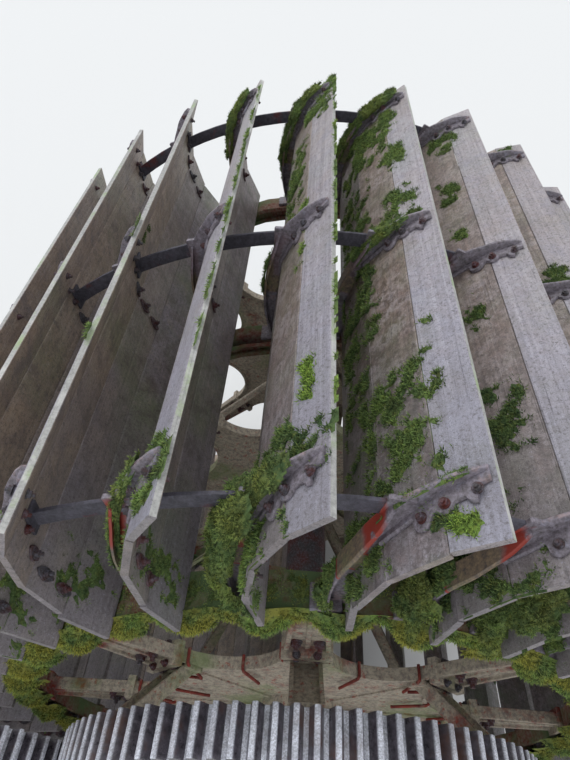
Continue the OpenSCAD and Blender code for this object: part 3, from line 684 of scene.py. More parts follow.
def bolt_tree():
    """Sets a hexagon head, its washer and the thread's end on each point, facing its way."""
    t = Tree("Bolts on points", [
        ("Head Radius", "Float"), ("Head Height", "Float"), ("Washer Radius", "Float"),
        ("Washer Thickness", "Float"), ("Thread Length", "Float"), ("Seed", "Int"), ("Finish", "Material")])
    given = t.start

    def drum(sides, radius, height, base):
        shape = t.node("GeometryNodeMeshCylinder", {"Vertices": sides, "Radius": radius, "Depth": height})
        return t.lifted(shape.outputs["Mesh"], t.math("ADD", base, t.math("MULTIPLY", height, 0.5)))

    washer = drum(14, given["Washer Radius"], given["Washer Thickness"], 0.0)
    head = drum(6, given["Head Radius"], given["Head Height"], given["Washer Thickness"])
    top = t.math("ADD", given["Washer Thickness"], given["Head Height"])
    thread = drum(10, t.math("MULTIPLY", given["Head Radius"], 0.52), given["Thread Length"], top)
    spin = t.combine(Z=t.random(0.0, math.tau, given["Seed"]))
    rotation = t.spun(t.aligned(t.named("facing", "FLOAT_VECTOR")), spin)
    bolt = t.joined(washer, head, thread)
    bolts = t.instances(given["Geometry"], bolt, Rotation=rotation, Scale=t.named("size"))
    t.finish(bolts, given["Finish"])
    return t


def tuft_shape(t):
    """Four short blades that lean outwards, one unit long."""
    blade = t.node("GeometryNodeMeshCone", {"Vertices": 3, "Radius Top": 0.0, "Radius Bottom": 0.15,
                   "Depth": 1.0}, fill_type="NONE").outputs["Mesh"]
    heads = t.node("GeometryNodeMeshCircle", {"Vertices": 4, "Radius": 0.2}).outputs["Mesh"]
    place = t.node("GeometryNodeInputPosition").outputs["Position"]
    outward = t.vector("ADD", place, (0.0, 0.0, 0.28))
    tuft = t.instances(heads, blade, Rotation=t.aligned(outward))
    tuft = t.chain(tuft, "GeometryNodeRealizeInstances")
    height = t.node("ShaderNodeSeparateXYZ", {"Vector": place}).outputs["Z"]
    return t.store(tuft, "tip", height, "POINT")


def shoots_on(t, scatter, length, seed):
    """Tufts on scattered points, each with a length and a lean of its own."""
    rotation = t.spun(scatter.outputs["Rotation"], t.random(-0.6, 0.6, seed, vector=True))
    size = t.math("MULTIPLY", t.random(0.4, 1.25, seed), length)
    return t.instances(scatter.outputs["Points"], tuft_shape(t), Rotation=rotation, Scale=size)


def carpet_tree():
    """Grows tufts on patches of moss, as thickly as each place's cover says."""
    t = Tree("Moss carpet", [
        ("Tuft Density", "Float"), ("Tuft Length", "Float"), ("Seed", "Int"), ("Finish", "Material")])
    given = t.start
    density = t.math("MULTIPLY", t.named("cover"), given["Tuft Density"])
    scatter = t.node("GeometryNodeDistributePointsOnFaces", {"Mesh": given["Geometry"], "Density": density,
                     "Seed": given["Seed"]})
    shoots = shoots_on(t, scatter, given["Tuft Length"], given["Seed"])
    t.finish(t.joined(shoots, given["Geometry"]), given["Finish"])
    return t


def stone_tree():
    """Sets a rough block on each point, as big as the point's own spread says."""
    t = Tree("Coursed stone", [
        ("Roughness", "Float"), ("Roughness Scale", "Float"), ("Seed", "Int"), ("Finish", "Material")])
    given = t.start
    block = t.node("GeometryNodeMeshCube", {"Size": (1.0, 1.0, 1.0), "Vertices X": 5, "Vertices Y": 4,
                   "Vertices Z": 4}).outputs["Mesh"]
    walls = t.instances(given["Geometry"], block, Scale=t.named("spread", "FLOAT_VECTOR"))
    walls = t.store(walls, "tone", t.random(0.0, 1.0, given["Seed"]))
    walls = t.chain(walls, "GeometryNodeRealizeInstances")
    walls = t.eroded(walls, given["Roughness"], given["Roughness Scale"], 4.0)
    t.finish(walls, given["Finish"])
    return t


TREES = {"ring": ring_tree, "bolts": bolt_tree, "carpet": carpet_tree, "stones": stone_tree}
made_trees = {}


def tree(name):
    """A node tree, made the first time that it is asked for."""
    if name not in made_trees:
        made_trees[name] = TREES[name]()
    return made_trees[name]


def through(obj, steps):
    """Runs an object through Geometry Nodes modifiers and leaves a plain mesh at the origin."""
    for name, values in steps:
        grown = tree(name)
        modifier = obj.modifiers.new(name, "NODES")
        modifier.node_group = grown.tree
        for label, value in values.items():
            modifier[grown.identifiers[label]] = value
    bpy.context.view_layer.update()
    seen = obj.evaluated_get(bpy.context.evaluated_depsgraph_get())
    plain = bpy.data.meshes.new_from_object(seen)
    obj.modifiers.clear()
    before = obj.data
    obj.data = plain
    bpy.data.meshes.remove(before)
    return obj


def new_object(name, mesh):
    made = bpy.data.objects.new(name, mesh)
    bpy.context.scene.collection.objects.link(made)
    return made


def coated(mesh, material):
    """The mesh with that one material."""
    mesh.materials.clear()
    mesh.materials.append(material)
    return mesh


def set_layer(mesh, name, values, domain="POINT"):
    """Writes a named attribute, one number or vector a point or face."""
    numbers = isinstance(values[0], (int, float))
    layer = mesh.attributes.new(name, "FLOAT" if numbers else "FLOAT_VECTOR", domain)
    for item, value in zip(layer.data, values):
        setattr(item, "value" if numbers else "vector", value)


def spots(name, items):
    """A mesh of loose points with the way that each faces and its size or spread."""
    points, ways, extents = zip(*items)
    mesh = bpy.data.meshes.new(name)
    mesh.from_pydata(points, [], [])
    set_layer(mesh, "facing", ways)
    set_layer(mesh, "size" if isinstance(extents[0], float) else "spread", extents)
    return new_object(name, mesh)


def loft(builder, rings):
    """Skins a row of equal rings of points and caps both ends."""
    rows = [[builder.verts.new(p) for p in ring] for ring in rings]
    count = len(rows[0])
    for a, b in zip(rows, rows[1:]):
        for i in range(count):
            j = (i + 1) % count
            builder.faces.new((a[i], a[j], b[j], b[i]))
    builder.faces.new(rows[0])
    builder.faces.new(list(reversed(rows[-1])))


def swept(builder, place, first, last, steps, section):
    """Skins a section, given as places across and radii, along a float's curve."""
    rings = []
    for i in range(steps + 1):
        phi = first + (last - first) * i / steps
        rings.append([place(radius, phi, across) for across, radius in section(i, phi)])
    loft(builder, rings)


def mesh_from(builder, name):
    """Turns a bmesh into a mesh with its faces pointing outwards."""
    bmesh.ops.recalc_face_normals(builder, faces=builder.faces[:])
    mesh = bpy.data.meshes.new(name)
    builder.to_mesh(mesh)
    builder.free()
    return mesh


def ring_values(count, turn, finish_name, wear=0.0, scale=6.0, wander=0.0, seed=1):
    """The ring tree's inputs."""
    return {"Count": count, "First Turn": turn, "Axle Height": AXLE.z, "End Wander": wander, "Wear": wear,
            "Wear Scale": scale, "Seed": seed, "Finish": finish(finish_name)}


def bolt_values(size, thread):
    """The bolt tree's inputs for a head of that radius."""
    return {"Head Radius": size, "Head Height": size * 0.8, "Washer Radius": size * 1.3,
            "Washer Thickness": size * 0.25, "Thread Length": size * thread, "Seed": 3,
            "Finish": finish("dull")}


def tube(builder, path, radius):
    """A rod of eight sides that follows a row of points."""
    rings = []
    side = None
    for i, point in enumerate(path):
        ahead = (path[min(i + 1, len(path) - 1)] - path[max(i - 1, 0)]).normalized()
        side = (Vector((0.31, 0.77, 0.55)) if side is None else side)
        side = (side - ahead * side.dot(ahead)).normalized()
        other = ahead.cross(side)
        rings.append([point + (side * math.cos(a) + other * math.sin(a)) * radius
                      for a in (math.tau * k / 8 for k in range(8))])
    loft(builder, rings)


def softened(node, width, finish_name, shift=0.0):
    """A copy of a CAD node with its arrises rounded, which stands for the node."""
    name = node + "_cast"
    builder = bmesh.new()
    builder.from_mesh(frame["nodes"][node].data)
    bmesh.ops.translate(builder, verts=builder.verts[:], vec=(0.0, shift, 0.0))
    bmesh.ops.remove_doubles(builder, verts=builder.verts[:], dist=WELD)
    bmesh.ops.dissolve_limit(builder, angle_limit=FLAT_ANGLE, verts=builder.verts[:],
                             edges=builder.edges[:])
    arrises = [edge for edge in builder.edges
               if len(edge.link_faces) == 2 and edge.calc_face_angle() > ARRIS_ANGLE]
    bmesh.ops.bevel(builder, geom=arrises, offset=width, segments=2, profile=0.7, affect="EDGES",
                    clamp_overlap=True)
    mesh = bpy.data.meshes.new(name)
    builder.to_mesh(mesh)
    builder.free()
    mesh.shade_smooth()
    mesh.set_sharp_from_angle(angle=SMOOTH_ANGLE)
    made = new_object(name, coated(mesh, finish(finish_name)))
    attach(made, BODY_OF[node])
    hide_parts(node)
    return made


class WHEEL_OT_boards(bpy.types.Operator):
    """Makes the four rings of worn boards"""

    bl_idname = "wheel.boards"
    bl_label = "Boards"

    slices = 44
    chamfer = 0.004
    tip_slope = 0.024
    hollow_contrast = 1.6
    edge_strip = 0.03
    wear_scale = 9.0

    def outline(self, k):
        """Section of board k, chamfered at its corners, and cut to the wheel's radius at the tip."""
        corners = [on_curve(CURVE_R, BOARD_PHI[k]), on_curve(CURVE_R, BOARD_PHI[k + 1]),
                   on_curve(BACK_R, BOARD_PHI[k + 1]), on_curve(BACK_R, BOARD_PHI[k])]
        if k == 0:
            share = (TIP_R - corners[2].z) / (corners[3].z - corners[2].z)
            corners[3] = corners[2].lerp(corners[3], share)
            corners[0] = corners[0].lerp(corners[1], self.tip_slope / OUTER_W)
        section = []
        for i, corner in enumerate(corners):
            before = (corners[i - 1] - corner).normalized()
            after = (corners[(i + 1) % 4] - corner).normalized()
            section.append(corner + before * self.chamfer)
            section.append(corner + after * self.chamfer)
            if i in (0, 2):
                following = corners[(i + 1) % 4]
                section += [corner.lerp(following, share) for share in (0.25, 0.5, 0.75)]
        return section

    def board(self, k):
        """One board, with its hollow side, its row and its pale outer edge marked."""
        section = self.outline(k)
        builder = bmesh.new()
        rings = []
        for i in range(self.slices + 1):
            y = NEAR_END + END_INSET + (FAR_END - NEAR_END - 2 * END_INSET) * i / self.slices
            rings.append([p + Vector((0.0, y, 0.0)) for p in section])
        loft(builder, rings)
        mesh = mesh_from(builder, BOARD_NODES[k] + "_worn")
        centre = Vector((LEAN, 0.0, CURVE_Z))
        hollow = []
        for face in mesh.polygons:
            away = (face.center - centre).normalized()
            away.y = 0.0
            side = self.hollow_contrast * away.dot(face.normal)
            hollow.append(0.5 - 0.5 * max(-1.0, min(1.0, side)))
        set_layer(mesh, "hollow", hollow, domain="FACE")
        set_layer(mesh, "row", [k / 3] * len(mesh.polygons), domain="FACE")
        edge = [float(k == 0 and face.normal.z > 0.7 and face.normal.x > 0.2
                      and face.center.z > TIP_R - self.edge_strip) for face in mesh.polygons]
        set_layer(mesh, "edge", edge, domain="FACE")
        return new_object(mesh.name, mesh)

    def execute(self, context):
        for k, node in enumerate(BOARD_NODES):
            made = self.board(k)
            values = ring_values(FLOATS, FIRST_TURN, "board", sizes().wear, self.wear_scale,
                                 sizes().end_wander, seed=11 + k)
            through(made, [("ring", values)])
            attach(made, "wheel")
            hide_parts(node)
        return {"FINISHED"}


class WHEEL_OT_starts(bpy.types.Operator):
    """Makes the curved iron starts that carry the floats at the three stations"""

    bl_idname = "wheel.starts"
    bl_label = "Starts"

    rib_half = 0.012
    rib_steps = 36
    plate_steps = 60
    cover_steps = 20
    tip_gap = 0.05
    elbow_turn = 0.157
    rib_heights = (0.026, 0.056, 0.076, 0.06, 0.068)
    block_chamfer = 0.006
    block_length = 0.11
    block_below = 0.06
    block_above = 0.044
    foot_back = 0.075
    foot_ends = ((-0.075, 0.004), (-0.071, 0.0), (0.061, 0.0), (0.065, 0.004))
    foot_half = 0.06
    foot_t = 0.024
    smooth_angle = math.radians(35.0)
    lobes = ((START_BOLTS[0], 0.044), (START_BOLTS[1], 0.034), (START_BOLTS[2], 0.042))
    paint = {"near": 1.0, "middle": 0.12, "far": 0.08}

    def execute(self, context):
        rib_phi = TIP_PHI + self.tip_gap / CURVE_R
        leg_phi = BOARD_PHI[4] + math.radians(5.0)
        stops = (rib_phi, ELBOW_PHI - self.elbow_turn, ELBOW_PHI, ELBOW_PHI + self.elbow_turn, leg_phi)
        keys = list(zip(stops, self.rib_heights))

        def rib_height(phi):
            for (a, low), (b, high) in zip(keys, keys[1:]):
                if phi <= b:
                    share = eased(max(0.0, (phi - a) / (b - a)))
                    return low + (high - low) * share
            return keys[-1][1]

        for name, y in STATIONS.items():

            def place(radius, phi, across):
                depth = (phi - TIP_PHI) * CURVE_R
                return on_curve(radius, phi) + Vector((0.0, y + across + lean(name, depth), 0.0))

            builder = bmesh.new()
            self.rib(builder, place, rib_phi, leg_phi, rib_height)
            self.plate(builder, place, rib_phi)
            self.cover(builder, place, leg_phi, rib_height)
            self.elbow(builder, y + lean(name, (ELBOW_PHI - TIP_PHI) * CURVE_R))
            self.foot(builder, y + lean(name, (leg_phi - TIP_PHI) * CURVE_R))
            mesh = mesh_from(builder, name + "_starts_cast")
            leg = []
            crest = []
            for vertex in mesh.vertices:
                from_centre = vertex.co - on_curve(0.0, 0.0)
                phi = math.atan2(from_centre.z, from_centre.x)
                radius = math.hypot(from_centre.x, from_centre.z)
                share = max(0.0, min(1.0, (phi - ELBOW_PHI) / (leg_phi - ELBOW_PHI)))
                leg.append(share if radius > BACK_R + 0.03 or share > 0.35 else 0.0)
                at_edge = radius > BACK_R + rib_height(phi) - 0.007 and phi < ELBOW_PHI
                crest.append(1.0 if at_edge or phi < rib_phi + 0.05 else 0.0)
            set_layer(mesh, "leg", leg)
            set_layer(mesh, "crest", crest)
            set_layer(mesh, "paint", [self.paint[name]] * len(crest))
            mesh.shade_smooth()
            mesh.set_sharp_from_angle(angle=self.smooth_angle)
            made = new_object(name + "_starts_cast", mesh)
            through(made, [("ring", ring_values(FLOATS, FIRST_TURN, "start", 0.002, 14.0, seed=21))])
            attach(made, "wheel")
            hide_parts(name + "_starts")
        return {"FINISHED"}

    def rib(self, builder, place, first, last, height):
        """The standing rib, rounded along its edge, that grows to the elbow and runs down the leg."""
        half = self.rib_half

        def section(i, phi):
            low = flat_radius(BACK_R, min(phi, BOARD_PHI[4])) - 0.002
            high = BACK_R + height(phi) * (0.55 if i == 0 else 1.0)
            return ((-half - 0.004, low), (-half, high - 0.008), (-half + 0.006, high), (half - 0.006, high),
                    (half, high - 0.008), (half + 0.004, low))

        swept(builder, place, first, last, self.rib_steps, section)

    def plate(self, builder, place, first):
        """The plate on the boards, with a lobe round each bolt on its near edge."""
        def section(i, phi):
            depth = (phi - TIP_PHI) * CURVE_R
            reach = 0.072 if depth < 0.33 else 0.04
            for bolt, radius in self.lobes:
                inside = radius ** 2 - (depth - bolt) ** 2
                if inside > 0:
                    reach = max(reach, -BOLT_LINE + math.sqrt(inside))
                elif depth < self.lobes[0][0]:
                    reach = min(reach, 0.05)
            base = flat_radius(BACK_R, phi)
            top = base + PLATE_T
            return ((0.0, base), (-reach, base), (-reach, top - 0.008), (-reach + 0.007, top), (0.0, top))

        swept(builder, place, first, ELBOW_PHI + math.radians(12.0), self.plate_steps, section)

    def cover(self, builder, place, last, height):
        """The broad outer face of the leg, which flares towards the foot."""
        def section(i, phi):
            widen = min(1.0, (i + 1) / 5)
            widen = widen * (2 - widen)
            near = 0.014 + 0.046 * widen
            far = 0.014 + 0.02 * widen
            low = BACK_R + height(phi) - 0.008
            high = low + 0.015
            return ((-near, low), (-near, high - 0.005), (-near + 0.007, high), (far - 0.007, high),
                    (far, high - 0.005), (far, low))

        swept(builder, place, ELBOW_PHI + math.radians(2.0), last, self.cover_steps, section)

    def elbow(self, builder, y):
        """The block at the elbow that the tie bar butts against."""
        half = self.rib_half - 0.001
        rings = []
        for along, inset in ((0.0, self.block_chamfer), (self.block_chamfer, 0.0), (self.block_length, 0.0)):
            x = -BAR_END + along
            low = TIE_R - self.block_below + inset
            high = TIE_R + self.block_above - inset
            wide = half - inset / 2
            rings.append([Vector((x, y + across, z)) for across, z in (
                (-wide, low), (-wide, high), (wide, high), (wide, low))])
        loft(builder, rings)

    def foot(self, builder, y):
        """The foot that is bolted to the rim."""
        inner = on_curve(BACK_R, BOARD_PHI[4])
        turn = math.atan2(inner.x, inner.z) - self.foot_back / inner.length
        out = Vector((math.sin(turn), 0.0, math.cos(turn)))
        along = Vector((math.cos(turn), 0.0, -math.sin(turn)))
        seat = inner.dot(out) - 0.005
        rings = []
        for x, inset in self.foot_ends:
            half = self.foot_half - inset
            side = seat + 0.02 - inset
            top = seat + self.foot_t - inset
            section = ((-half, seat), (-half, side), (-0.055, top), (0.055, top), (half, side), (half, seat))
            rings.append([out * r + along * x + Vector((0.0, y + across, 0.0)) for across, r in section])
        loft(builder, rings)


class WHEEL_OT_fastenings(bpy.types.Operator):
    """Makes the bolts, nuts and oval washer plates of the floats"""

    bl_idname = "wheel.fastenings"
    bl_label = "Float fastenings"

    washer_depths = (0.43, 0.56, 0.70)
    washer_t = 0.009
    washer_half_length = 0.055
    washer_half_width = 0.024

    def execute(self, context):
        heads = []
        nuts = []
        for name, y in STATIONS.items():
            for depth in START_BOLTS:
                across = y + BOLT_LINE + lean(name, depth)
                point, out = board_point(depth, across)
                heads.append((point + out * PLATE_T, out, 1.0))
                point, out = board_point(depth, across, hollow=True)
                nuts.append((point, out, 0.95))
            for depth in self.washer_depths:
                point, out = board_point(depth, y + BOLT_LINE + lean(name, depth), hollow=True)
                nuts.append((point + out * self.washer_t, out, 1.0))
        ring = ring_values(FLOATS, FIRST_TURN, "dull", seed=31)
        for name, items, thread in (("start_bolts", heads, 0.5), ("board_nuts", nuts, 0.9)):
            values = bolt_values(sizes().bolt_head, thread)
            made = through(spots(name, items), [("bolts", values), ("ring", ring)])
            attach(made, "wheel")
        ring = ring_values(FLOATS, FIRST_TURN, "dull", 0.001, 20.0, seed=33)
        made = through(self.washers(), [("ring", ring)])
        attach(made, "wheel")
        return {"FINISHED"}

    def washers(self):
        """Oval plates under the nuts on the hollow side."""
        builder = bmesh.new()
        for name, y in STATIONS.items():
            for middle_depth in self.washer_depths:
                rings = []
                for turn in (-1.0, -0.7, -0.35, 0.0, 0.35, 0.7, 1.0):
                    half = 0.005 + self.washer_half_width * math.cos(turn * math.pi / 2)
                    point, out = board_point(middle_depth + self.washer_half_length * turn,
                                             y + BOLT_LINE + lean(name, middle_depth), hollow=True)
                    side = Vector((0.0, half, 0.0))
                    top = point + out * self.washer_t
                    rings.append([point - side, point + side, top + side * 0.9, top - side * 0.9])
                loft(builder, rings)
        return new_object("board_washers", mesh_from(builder, "board_washers"))


class WHEEL_OT_castings(bpy.types.Operator):
    """Rounds the arrises of the castings and bars and gives them their finishes"""

    bl_idname = "wheel.castings"
    bl_label = "Castings"

    # Endings of the spiders' nodes, then the other nodes: bevel width, finish
    spider_parts = (("_arms", 0.005, "spider"), ("_hub", 0.006, "spider"), ("_rim", 0.005, "rim"))
    others = (
        (0.003, "spider", ("near_braces", "far_braces")),
        (0.004, "spider", ("gear_brackets",)),
        (0.003, "gear", ("gear_ring",)),
        (0.003, "pinion", ("pinion_ring",)),
        (0.005, "pinion", ("pinion_spider",)),
        (0.006, "dull", ("near_bearing", "far_bearing", "near_bearing_cap", "far_bearing_cap")),
        (0.005, "dull", ("pinion_bearings", "pinion_bearing_caps")),
        (0.004, "dull", ("axle", "pinion_shaft")),
        (0.012, "stone", ("near_cap_stone", "far_cap_stone", "pinion_cap_stone")),
    )

    def execute(self, context):
        for name in STATIONS:
            for part, width, coat in self.spider_parts:
                softened(name + part, width, coat)
            softened(name + "_tie_bars", 0.002, "bar", shift=lean(name, (ELBOW_PHI - TIP_PHI) * CURVE_R))
        for width, coat, nodes in self.others:
            for node in nodes:
                softened(node, width, coat)
        return {"FINISHED"}


class WHEEL_OT_arm_fastenings(bpy.types.Operator):
    """Makes the bolts of the arms' end plates and the hook bolts over the near hub's hollows"""

    bl_idname = "wheel.arm_fastenings"
    bl_label = "Arm fastenings"

    plate_t = 0.026
    bolt_head = 0.017
    plate_bolt_x = ARM_HALF * 0.45
    plate_bolt_y = 0.052
    flange_bolt_x = ARM_HALF * 0.5
    flange_bolt_y = -0.018
    flange_bolt_rise = 0.12
    hook_r = 0.0095
    hook_turns = (-62.0, -4.0, 58.0)
    hook_path = ((0.085, 0.0), (0.03, 0.0), (0.008, 0.004), (0.0, 0.02), (0.0, 0.12), (0.0, 0.24))

    def execute(self, context):
        bolts = []
        for y in STATIONS.values():
            for x in (-self.plate_bolt_x, self.plate_bolt_x):
                for across in (-self.plate_bolt_y, self.plate_bolt_y):
                    at = Vector((x, y + across, HUB_REACH + self.plate_t))
                    bolts.append((at, Vector((0.0, 0.0, 1.0)), 1.0))
                    bolts.append((at - Vector((0.0, 0.0, 2 * self.plate_t)), Vector((0.0, 0.0, -1.0)), 1.0))
            for x in (-self.flange_bolt_x, self.flange_bolt_x):
                at = Vector((x, y + self.flange_bolt_y, HUB_REACH + self.flange_bolt_rise))
                bolts.append((at, Vector((0.0, -1.0, 0.0)), 1.5))
        ring = ring_values(ARMS, 0.0, "dull", seed=37)
        values = bolt_values(self.bolt_head, 0.8)
        made = through(spots("arm_bolts", bolts), [("bolts", values), ("ring", ring)])
        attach(made, "wheel")
        ring = ring_values(ARMS, math.pi / ARMS, "oxide", 0.001, 30.0, seed=39)
        made = through(self.hooks(), [("ring", ring)])
        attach(made, "wheel")
        return {"FINISHED"}

    def hooks(self):
        """Rods over the flange of a hollow that turn down its near face."""
        builder = bmesh.new()
        near = STATIONS["near"] - FLANGE_HALF - self.hook_r
        for degrees in self.hook_turns:
            angle = math.radians(degrees)
            edge = Vector((HOLLOW_R * math.sin(angle), 0.0, HOLLOW_AT - HOLLOW_R * math.cos(angle)))
            way = Vector((0.2 * math.sin(angle), 0.0, -1.0)).normalized()
            lift = Vector((-math.sin(angle), 0.0, math.cos(angle))) * (self.hook_r + 0.001)
            path = [edge + lift + Vector((0.0, near + back, 0.0)) + way * fall
                    for back, fall in self.hook_path]
            tube(builder, path, self.hook_r)
        return new_object("hook_bolts", mesh_from(builder, "hook_bolts"))


# Moss on the floats: float, first and last distance from the near end, first and last depth in from the tip,
# cover, tone from dark to bright
BACK_MOSS = (
    (0, 3.1, 3.7, 0.0, 0.32, 0.85, 0.45), (0, 1.9, 3.2, 0.24, 0.5, 0.62, 0.4),
    (0, 0.5, 0.74, 0.11, 0.2, 1.0, 1.0), (0, 0.18, 0.42, 0.0, 0.22, 0.95, 0.1),
    (0, 0.0, 0.52, 0.2, 1.0, 0.95, 0.25), (0, 0.0, 0.2, 0.3, 0.95, 0.9, 0.55),
    (0, 1.4, 2.1, 0.2, 0.3, 0.6, 0.8), (1, 2.85, 3.7, 0.12, 0.75, 0.85, 0.5),
    (1, 2.5, 2.9, 0.1, 0.32, 0.68, 0.55), (1, 1.85, 2.3, 0.08, 0.34, 0.72, 0.4),
    (1, 0.5, 2.9, 0.4, 0.8, 0.66, 0.33), (1, 0.25, 0.95, 0.14, 0.6, 0.72, 0.45),
    (1, 0.0, 0.36, 0.28, 1.0, 0.92, 0.35), (1, 0.02, 0.15, 0.09, 0.23, 1.0, 1.0),
    (1, 0.06, 0.22, 0.17, 0.32, 0.95, 0.15), (1, 1.0, 1.09, 0.13, 0.2, 1.0, 0.55),
    (1, 0.7, 0.8, 0.28, 0.37, 1.0, 0.1), (2, 3.15, 3.55, 0.16, 0.4, 0.9, 0.5),
    (2, 2.5, 2.82, 0.24, 0.4, 0.85, 0.4), (2, 2.05, 2.3, 0.28, 0.4, 0.8, 0.65),
    (2, 0.55, 0.95, 0.23, 0.46, 0.92, 0.12), (2, 1.3, 1.6, 0.3, 0.5, 0.7, 0.25),
    (2, 0.0, 0.45, 0.28, 1.0, 0.92, 0.25), (3, 3.4, 3.7, 0.1, 0.26, 0.9, 0.55),
    (3, 1.8, 2.1, 0.12, 0.32, 0.8, 0.3), (3, 0.0, 0.5, 0.2, 1.0, 0.85, 0.3),
    (4, 0.0, 0.5, 0.2, 1.0, 0.8, 0.35), (-1, 0.06, 0.4, 0.0, 0.24, 0.92, 0.35),
    (-1, 0.0, 0.3, 0.3, 1.0, 0.8, 0.4), (-1, 0.6, 3.6, 0.0, 0.03, 0.68, 0.55),
    (-2, 1.7, 1.95, 0.0, 0.03, 0.9, 0.5), (-2, 0.9, 1.0, 0.0, 0.03, 0.9, 0.5),
    (0, 0.3, 3.7, 0.0, 0.02, 0.5, 0.6),
)
# The same on the hollow faces
HOLLOW_MOSS = (
    (-1, 0.0, 0.25, 0.5, 1.0, 0.85, 0.45), (-2, 0.0, 0.3, 0.6, 1.0, 0.8, 0.35),
    (-3, 0.0, 0.35, 0.6, 1.0, 0.85, 0.3), (-4, 0.0, 0.35, 0.5, 1.0, 0.85, 0.3),
    (-2, 1.9, 2.2, 0.2, 0.3, 0.7, 0.3), (0, 0.0, 0.2, 0.3, 0.9, 0.75, 0.4),
)
# Moss on the starts: float, station, first and last share of the way from tip to foot, cover, tone
START_MOSS = (
    (-1, "near", 0.0, 1.0, 0.85, 0.4), (0, "near", 0.12, 1.0, 0.95, 0.2),
    (1, "near", 0.05, 0.4, 0.62, 0.5), (1, "near", 0.62, 1.0, 0.9, 0.35),
    (2, "near", 0.6, 1.0, 0.9, 0.3), (3, "near", 0.5, 1.0, 0.85, 0.3),
    (1, "middle", 0.05, 0.45, 0.95, 0.4), (0, "middle", 0.3, 0.8, 0.6, 0.35),
    (2, "middle", 0.1, 0.4, 0.6, 0.4), (0, "far", 0.0, 0.9, 0.9, 0.4), (1, "far", 0.0, 0.9, 0.85, 0.45),
    (-2, "near", 0.2, 1.0, 0.7, 0.4), (-3, "near", 0.3, 1.0, 0.7, 0.4), (4, "near", 0.4, 1.0, 0.8, 0.4),
    (5, "near", 0.4, 1.0, 0.7, 0.4),
)

# Thick growths over starts: float, station, first and last share of the way to the foot, rise, tone
MOUNDS = (
    (0, "near", 0.22, 1.0, 0.045, 0.35), (0, "near", 0.05, 0.4, 0.015, 0.1),
    (-1, "near", 0.05, 0.5, 0.008, 0.3), (1, "near", 0.8, 1.05, 0.03, 0.45),
    (2, "near", 0.65, 1.05, 0.05, 0.3), (3, "near", 0.5, 1.05, 0.05, 0.3),
    (1, "middle", 0.05, 0.42, 0.012, 0.4), (-2, "near", 0.6, 1.0, 0.03, 0.35),
    (-3, "near", 0.5, 1.0, 0.03, 0.35), (0, "far", 0.0, 0.6, 0.02, 0.4),
    (1, "far", 0.0, 0.6, 0.02, 0.45), (-1, "far", 0.0, 0.5, 0.02, 0.4),
)


class Carpet:
    """Patches of moss: a low cloth that sinks out of sight at its ragged edges."""

    cell = 0.016
    sink = 0.006
    ragged_scale = 9.0
    lump_scale = 30.0
    tone_scale = 16.0
    least_cover = 0.04
    # The cloth's tip value puts it in the painted shade at the feet of the tufts.
    cloth_shade_tip = 0.22

    def __init__(self):
        self.points = []
        self.faces = []
        self.layers = {"cover": [], "tone": [], "dry": [], "tip": []}

    def patch(self, surface, u_range, v_range, cover, tone, dry=0.0, swell=0.012):
        """Adds cells over a stretch of a surface, which gives a point and its outward direction."""
        columns = max(2, round((u_range[1] - u_range[0]) / self.cell))
        rows = max(2, round((v_range[1] - v_range[0]) / self.cell))
        places = {}
        covers = {}
        for i in range(columns + 1):
            for j in range(rows + 1):
                a, b = i / columns, j / rows
                point, out = surface(u_range[0] + (u_range[1] - u_range[0]) * a,
                                     v_range[0] + (v_range[1] - v_range[0]) * b)
                fade = (4.0 * a * (1.0 - a)) ** 0.5 * (4.0 * b * (1.0 - b)) ** 0.5
                ragged = 0.5 + 0.9 * noise.fractal(point * self.ragged_scale, 0.6, 2.2, 5)
                amount = max(0.0, min(1.0, (ragged + cover * fade - 0.92) * 2.4))
                lumps = 0.7 + 0.6 * noise.fractal(point * self.lump_scale, 0.7, 2.0, 3)
                places[i, j] = (point + out * (amount * swell * lumps - self.sink), out)
                covers[i, j] = amount
        numbers = {}
        for i in range(columns):
            for j in range(rows):
                corners = [(i, j), (i + 1, j), (i + 1, j + 1), (i, j + 1)]
                if max(covers[c] for c in corners) < self.least_cover:
                    continue
                for c in corners:
                    if c not in numbers:
                        numbers[c] = len(self.points)
                        self.points.append(places[c][0])
                        self.layers["cover"].append(covers[c])
                        patchy = noise.noise(places[c][0] * self.tone_scale)
                        self.layers["tone"].append(tone + 0.4 * patchy)
                        self.layers["dry"].append(dry)
                        self.layers["tip"].append(self.cloth_shade_tip)
                a, b, d = (places[c][0] for c in (corners[0], corners[1], corners[3]))
                if (b - a).cross(d - a).dot(places[i, j][1]) < 0.0:
                    corners.reverse()
                self.faces.append([numbers[c] for c in corners])

    def grown(self, name, seed, thicker, longer=1.0):
        """Makes the object, with tufts that much thicker and longer than the scene's sizes say."""
        mesh = bpy.data.meshes.new(name)
        mesh.from_pydata(self.points, [], self.faces)
        for layer, values in self.layers.items():
            set_layer(mesh, layer, values)
        mesh.shade_smooth()
        values = {"Tuft Density": sizes().carpet_density * thicker,
                  "Tuft Length": sizes().tuft_length * longer, "Seed": seed, "Finish": finish("moss")}
        made = through(new_object(name, mesh), [("carpet", values)])
        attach(made, "wheel")


